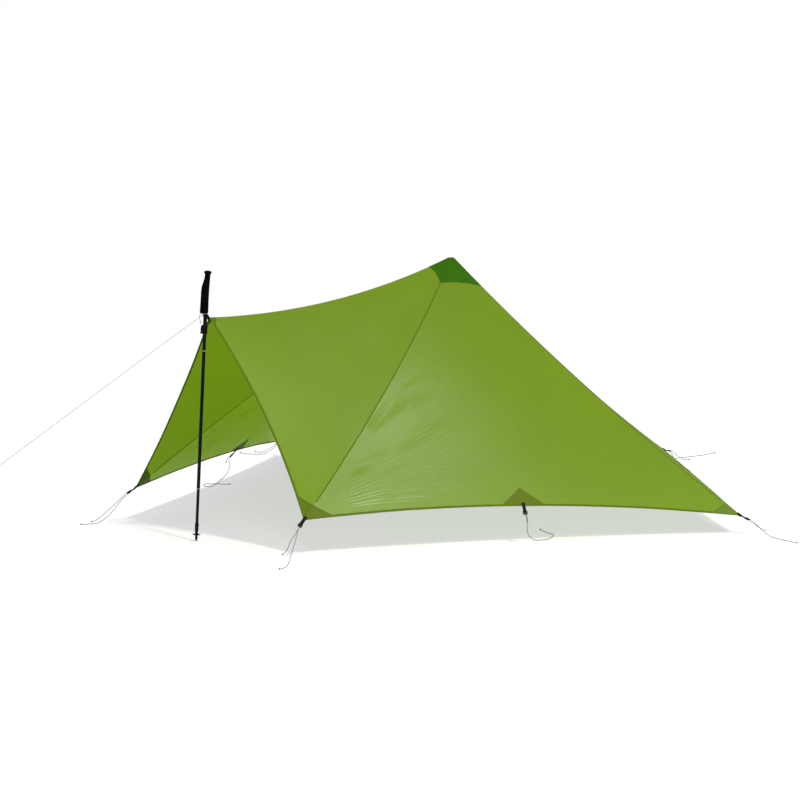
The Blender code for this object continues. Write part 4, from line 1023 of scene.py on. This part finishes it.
def make_pole_loop():
    """Webbing round the front pole, whose two ends are sewn down on either side of the door's ridge."""
    center = np.array(LOOP_CENTER)
    ends, faces = [], []
    for other in ("front_left", "front_right"):
        downs = [1 - LOOP_LEG * s / RIDGE_LENGTH for s in (1, 0.6, 0.2)]
        ends.append([from_corner("door", other, LOOP_SIDE / DOOR_WIDTH, v, -LOOP_SINK) for v in downs])
        faces.append(facing_from("door", other, 0.01, 0.985))
    angles = [math.radians(a) for a in np.linspace(*LOOP_TURNS, 23)]
    ring = [center + (LOOP_RADIUS * math.cos(a), LOOP_RADIUS * math.sin(a), 0) for a in angles]
    line = smooth_route([*ends[0], *ring, *reversed(ends[1])], 120)
    share = run_lengths(line)
    share = share / share[-1]
    along = tangents(line)
    upright = np.array((0, 0, 1.0))
    sides = []
    for s, t in zip(share, along):
        lying = np.cross(t, faces[0] if s < 0.5 else faces[1])
        lying = lying * np.sign(lying[2])
        mix = np.clip((abs(s - 0.5) - TWIST_START_SHARE) / TWIST_SHARE, 0, 1)
        side = unit(upright * (1 - mix) + lying * mix)
        sides.append(unit(side - t * (side @ t)))
    sides = np.array(sides)
    normals = np.cross(sides, along)
    sections = ribbon_sections(line, sides, normals, LOOP_WIDTH, WEBBING_WALL)
    swept("pole_loop_webbing", sections, "black_webbing", nodes=["pole_loop"])


for tie_out in TIE_OUTS:
    make_tab(tie_out)
make_pole_loop()


# ---- poles

FULL_LENGTH = 1.25
CENTRE_LENGTH = 1.2107
FRONT_FOOT, FRONT_LEAN = (-1.666214, 0, 0.000143), math.radians(3.73)
CENTRE_LEAN = -math.asin(0.0048 / CENTRE_LENGTH)
POLES = {
    "front_pole": (Matrix.Translation(FRONT_FOOT) @ Matrix.Rotation(FRONT_LEAN, 4, "Y"), FULL_LENGTH),
    "centre_pole": (Matrix.Rotation(CENTRE_LEAN, 4, "Y"), CENTRE_LENGTH),
}
UPPER_RADIUS = 0.0090
MIDDLE_RADIUS = 0.0079
LOWER_RADIUS = 0.0068
TUBE_WALL = 0.0008
TUBE_EDGE = 0.0003
UPPER_LENGTH = 0.240
MIDDLE_LOW, MIDDLE_COVER = 0.240, 0.060
LOWER_LOW, LOWER_HIGH = 0.058, 0.320
BAND_LOW, BAND_HEIGHT, LOWER_BAND_HEIGHT = 0.879, 0.004, 0.003
BAND_OVER, BAND_UNDER, BAND_EDGE = 0.00012, 0.0002, 0.00005
GRIP_LENGTH = 0.195
GRIP_COVER = 0.050
GRIP_DEPTH = 0.0195
GRIP_BREADTH = 0.0178
GRIP_LEAN = 0.0060
GRIP_SIDES = 40
GRIP_GAP = 0.0003
GRAIN_PITCH, GRAIN_DEPTH, GRAIN_SHARES = 0.0085, 0.00035, (0.42, 0.95)
# Share of the length from the top, half depth, half breadth and lean, as shares of the grip's
GRIP_SECTIONS = (
    (0.00, 0.24, 0.26, 0.80), (0.007, 0.54, 0.59, 0.80), (0.02, 0.80, 0.87, 0.80),
    (0.034, 0.93, 1.01, 0.80), (0.046, 0.91, 0.99, 0.80), (0.062, 0.77, 0.83, 0.80),
    (0.10, 0.66, 0.70, 0.72), (0.17, 0.68, 0.72, 0.50), (0.27, 0.80, 0.82, -0.20),
    (0.37, 0.95, 0.94, -0.85), (0.47, 1.00, 0.99, -1.20), (0.70, 1.00, 1.00, -1.32),
    (0.96, 1.04, 1.04, -1.42), (1.00, 0.99, 0.98, -1.42),
)


LATHE_SIDES = 48
SHARP_EDGE = 0.6


def lathe(name, outline, matrix, look, nodes=(), body="shelter"):
    """A turned solid from a closed outline of (radius, height) points."""
    angles = np.linspace(0, 2 * math.pi, LATHE_SIDES, endpoint=False)
    points = [tuple(matrix @ Vector((radius * math.cos(a), radius * math.sin(a), height)))
              for radius, height in outline for a in angles]
    faces = grid_faces(len(outline) + 1, LATHE_SIDES, wrap=True)
    faces = [tuple(c % len(points) for c in face) for face in faces]
    uvs = [(k * 0.001, height) for _, height in outline for k in range(LATHE_SIDES)]
    made = piece(name, points, faces, look, uvs, nodes=nodes, body=body)
    bm = bmesh.new()
    bm.from_mesh(made.data)
    bmesh.ops.remove_doubles(bm, verts=bm.verts, dist=1e-6)
    bmesh.ops.recalc_face_normals(bm, faces=bm.faces)
    for edge in bm.edges:
        if len(edge.link_faces) == 2 and edge.calc_face_angle() > SHARP_EDGE:
            edge.smooth = False
    bm.to_mesh(made.data)
    bm.free()


def tube_outline(outer, inner, low, high, edge=TUBE_EDGE):
    return [(inner, low), (outer - edge, low), (outer, low + edge), (outer, high - edge),
            (outer - edge, high), (inner, high)]


def make_grip(prefix, matrix, length):
    """The shaped foam, with its fine ribs, and the bore that the upper tube fills."""
    table = np.array(GRIP_SECTIONS)
    start, stop = GRAIN_SHARES
    rows = []
    for s in np.concatenate((np.linspace(0, 0.07, 18), np.linspace(0.08, 1, 76))):
        deep, wide, lean = (np.interp(s, table[:, 0], table[:, k]) for k in (1, 2, 3))
        wave = max(0.0, math.sin(s * GRIP_LENGTH * TURN / GRAIN_PITCH))
        rib = GRAIN_DEPTH * wave**0.5 * (start < s < stop)
        row = []
        for k in range(GRIP_SIDES):
            a = 2 * math.pi * k / GRIP_SIDES
            x = math.cos(a) * (GRIP_DEPTH * deep - rib) + GRIP_LEAN * lean
            y = math.sin(a) * (GRIP_BREADTH * wide - rib)
            row.append(tuple(matrix @ Vector((x, y, length - s * GRIP_LENGTH))))
        rows.append(row)
    bore = UPPER_RADIUS + GRIP_GAP
    bottom = [matrix @ Vector((math.cos(a) * bore, math.sin(a) * bore, length - GRIP_LENGTH))
              for a in np.linspace(0, 2 * math.pi, GRIP_SIDES, endpoint=False)]
    rise = matrix.to_3x3() @ Vector((0, 0, GRIP_LENGTH - GRIP_COVER - GRIP_GAP))
    rows += [[tuple(p) for p in bottom], [tuple(p + rise) for p in bottom]]
    swept(f"{prefix}_grip_foam", np.array(rows), "black_foam", nodes=[f"{prefix}_grip"])


def make_pole(prefix, matrix, length):
    """The grip, the walls of the three tubes, and the two bands on the middle one."""
    make_grip(prefix, matrix, length)
    drop = (FULL_LENGTH - length) / 2
    upper_high = length - GRIP_COVER
    upper_low = upper_high - UPPER_LENGTH
    low, high = MIDDLE_LOW - drop, upper_low + MIDDLE_COVER + drop

    def tube(tag, radius, start, stop, body):
        lathe(f"{prefix}_{tag}_tube_wall", tube_outline(radius, radius - TUBE_WALL, start, stop),
              matrix, "black_aluminium", [f"{prefix}_{tag}_tube"], body)

    tube("upper", UPPER_RADIUS, upper_low, upper_high, "shelter")
    tube("middle", MIDDLE_RADIUS, low, high, f"{prefix}_middle_section")
    outer, inner = MIDDLE_RADIUS + BAND_OVER, MIDDLE_RADIUS - BAND_UNDER
    bands = ((BAND_LOW - FULL_LENGTH + length, BAND_HEIGHT), (low + LOWER_BAND_HEIGHT, LOWER_BAND_HEIGHT))
    for k, (start, tall) in enumerate(bands):
        outline = tube_outline(outer, inner, start, start + tall, BAND_EDGE)
        lathe(f"{prefix}_band_{k + 1}", outline, matrix, "band", body=f"{prefix}_middle_section")
    tube("lower", LOWER_RADIUS, LOWER_LOW, LOWER_HIGH, f"{prefix}_lower_section")


BEVEL_SEGMENTS, BEVEL_ANGLE = 2, 35


def dress(node, look, round_by):
    """A CAD piece keeps its shape, with its edges softened and a material of its own."""
    made = NODES[node]
    made.data.materials.clear()
    made.data.materials.append(LOOKS[look])
    edge = made.modifiers.new("edges", "BEVEL")
    edge.width = round_by
    edge.segments = BEVEL_SEGMENTS
    edge.limit_method = "ANGLE"
    edge.angle_limit = math.radians(BEVEL_ANGLE)


for prefix, (matrix, length) in POLES.items():
    make_pole(prefix, matrix, length)
    for part in ("clamp", "lever", "lock_plug", "tip", "basket"):
        dress(f"{prefix}_{part}", "black_plastic", 0.0003)
    dress(f"{prefix}_lever_pin", "bright_steel", 0.0002)
for tie_out in TIE_OUTS:
    dress(f"{tie_out}_line_lock", "black_plastic", 0.0004)


# ---- floor and light

# Place, aim, size in metres and power in watts of the near lamps
LAMPS = {
    "right_sheen": ((0.1, -1.4, 4.5), (-0.9, -0.7, 0.6), 0.8, 28),
    "front_sheen": ((2.4, -3.3, 4.5), (-0.9, -0.5, 0.7), 1.0, 42),
    "front": ((-3.3, -2.4, 3.2), (-0.7, -0.6, 0.6), 0.9, 22),
}
FAR_TOWARDS, FAR_ANGLE, FAR_STRENGTH = (0.0, -0.5, 0.866), 0.09, 2.0
WORLD_STRENGTH, SEEN_STRENGTH = 0.44, 1.0
FLOOR_HALF, FLOOR_DROP = 60, 0.0005
FLOOR_GREY = (0.6, 0.6, 0.6, 1)
# The seen floor adds up to white in full light, and to the shadow's grey where the far lamp is hidden
FLOOR_SHADED, FLOOR_GLOW = (0.46, 0.51, 0.41, 1), (0.545, 0.493, 0.594, 1)


def lamp(name, place, aim, size, power):
    data = bpy.data.lights.new(name, "AREA")
    data.shape = "RECTANGLE"
    data.size = data.size_y = size
    data.energy = power
    made = linked(name, data)
    made.location = place
    face_along(made, Vector(aim) - Vector(place), "-Z")


def far_lamp():
    """A soft lamp far away, whose shadow has the same crisp edge everywhere."""
    data = bpy.data.lights.new("far", "SUN")
    data.energy, data.angle = FAR_STRENGTH, FAR_ANGLE
    face_along(linked("far", data), FAR_TOWARDS, "Z")


def seen_directly(tree):
    """1 for what the camera sees, also through the cloth, and 0 for light that bounces."""
    path = add(tree, "ShaderNodeLightPath")
    return math_node(tree, "MAXIMUM", path.outputs["Is Camera Ray"], path.outputs["Is Transmission Ray"])


def make_floor():
    half = FLOOR_HALF
    mesh = bpy.data.meshes.new("floor")
    corners = [(-half, -half, 0), (half, -half, 0), (half, half, 0), (-half, half, 0)]
    mesh.from_pydata(corners, [], [(0, 1, 2, 3)])
    floor = linked("floor", mesh)
    floor.location.z = -FLOOR_DROP
    made, tree, face, output = shader_tree("floor")
    tree.nodes.remove(face)
    plain = add(tree, "ShaderNodeBsdfDiffuse", {"Color": FLOOR_GREY})
    shaded = add(tree, "ShaderNodeBsdfDiffuse", {"Color": FLOOR_SHADED})
    glow = add(tree, "ShaderNodeEmission", {"Color": FLOOR_GLOW, "Strength": 1.0})
    shown = add(tree, "ShaderNodeAddShader", {0: shaded.outputs[0], 1: glow.outputs[0]})
    seen = seen_directly(tree)
    both = add(tree, "ShaderNodeMixShader", {0: seen, 1: plain.outputs[0], 2: shown.outputs[0]})
    feed(tree, output, {"Surface": both.outputs[0]})
    mesh.materials.append(made)


def make_world():
    world = bpy.data.worlds.new("world")
    bpy.context.scene.world = world
    world.use_nodes = True
    tree = world.node_tree
    background = tree.nodes["Background"]
    seen = seen_directly(tree)
    strength = add(tree, "ShaderNodeMapRange", {0: seen, 3: WORLD_STRENGTH, 4: SEEN_STRENGTH})
    feed(tree, background, {"Color": (1, 1, 1, 1), "Strength": strength.outputs[0]})


make_floor()
make_world()
for name, settings in LAMPS.items():
    lamp(name, *settings)
far_lamp()
bpy.context.scene.view_settings.view_transform = "Standard"
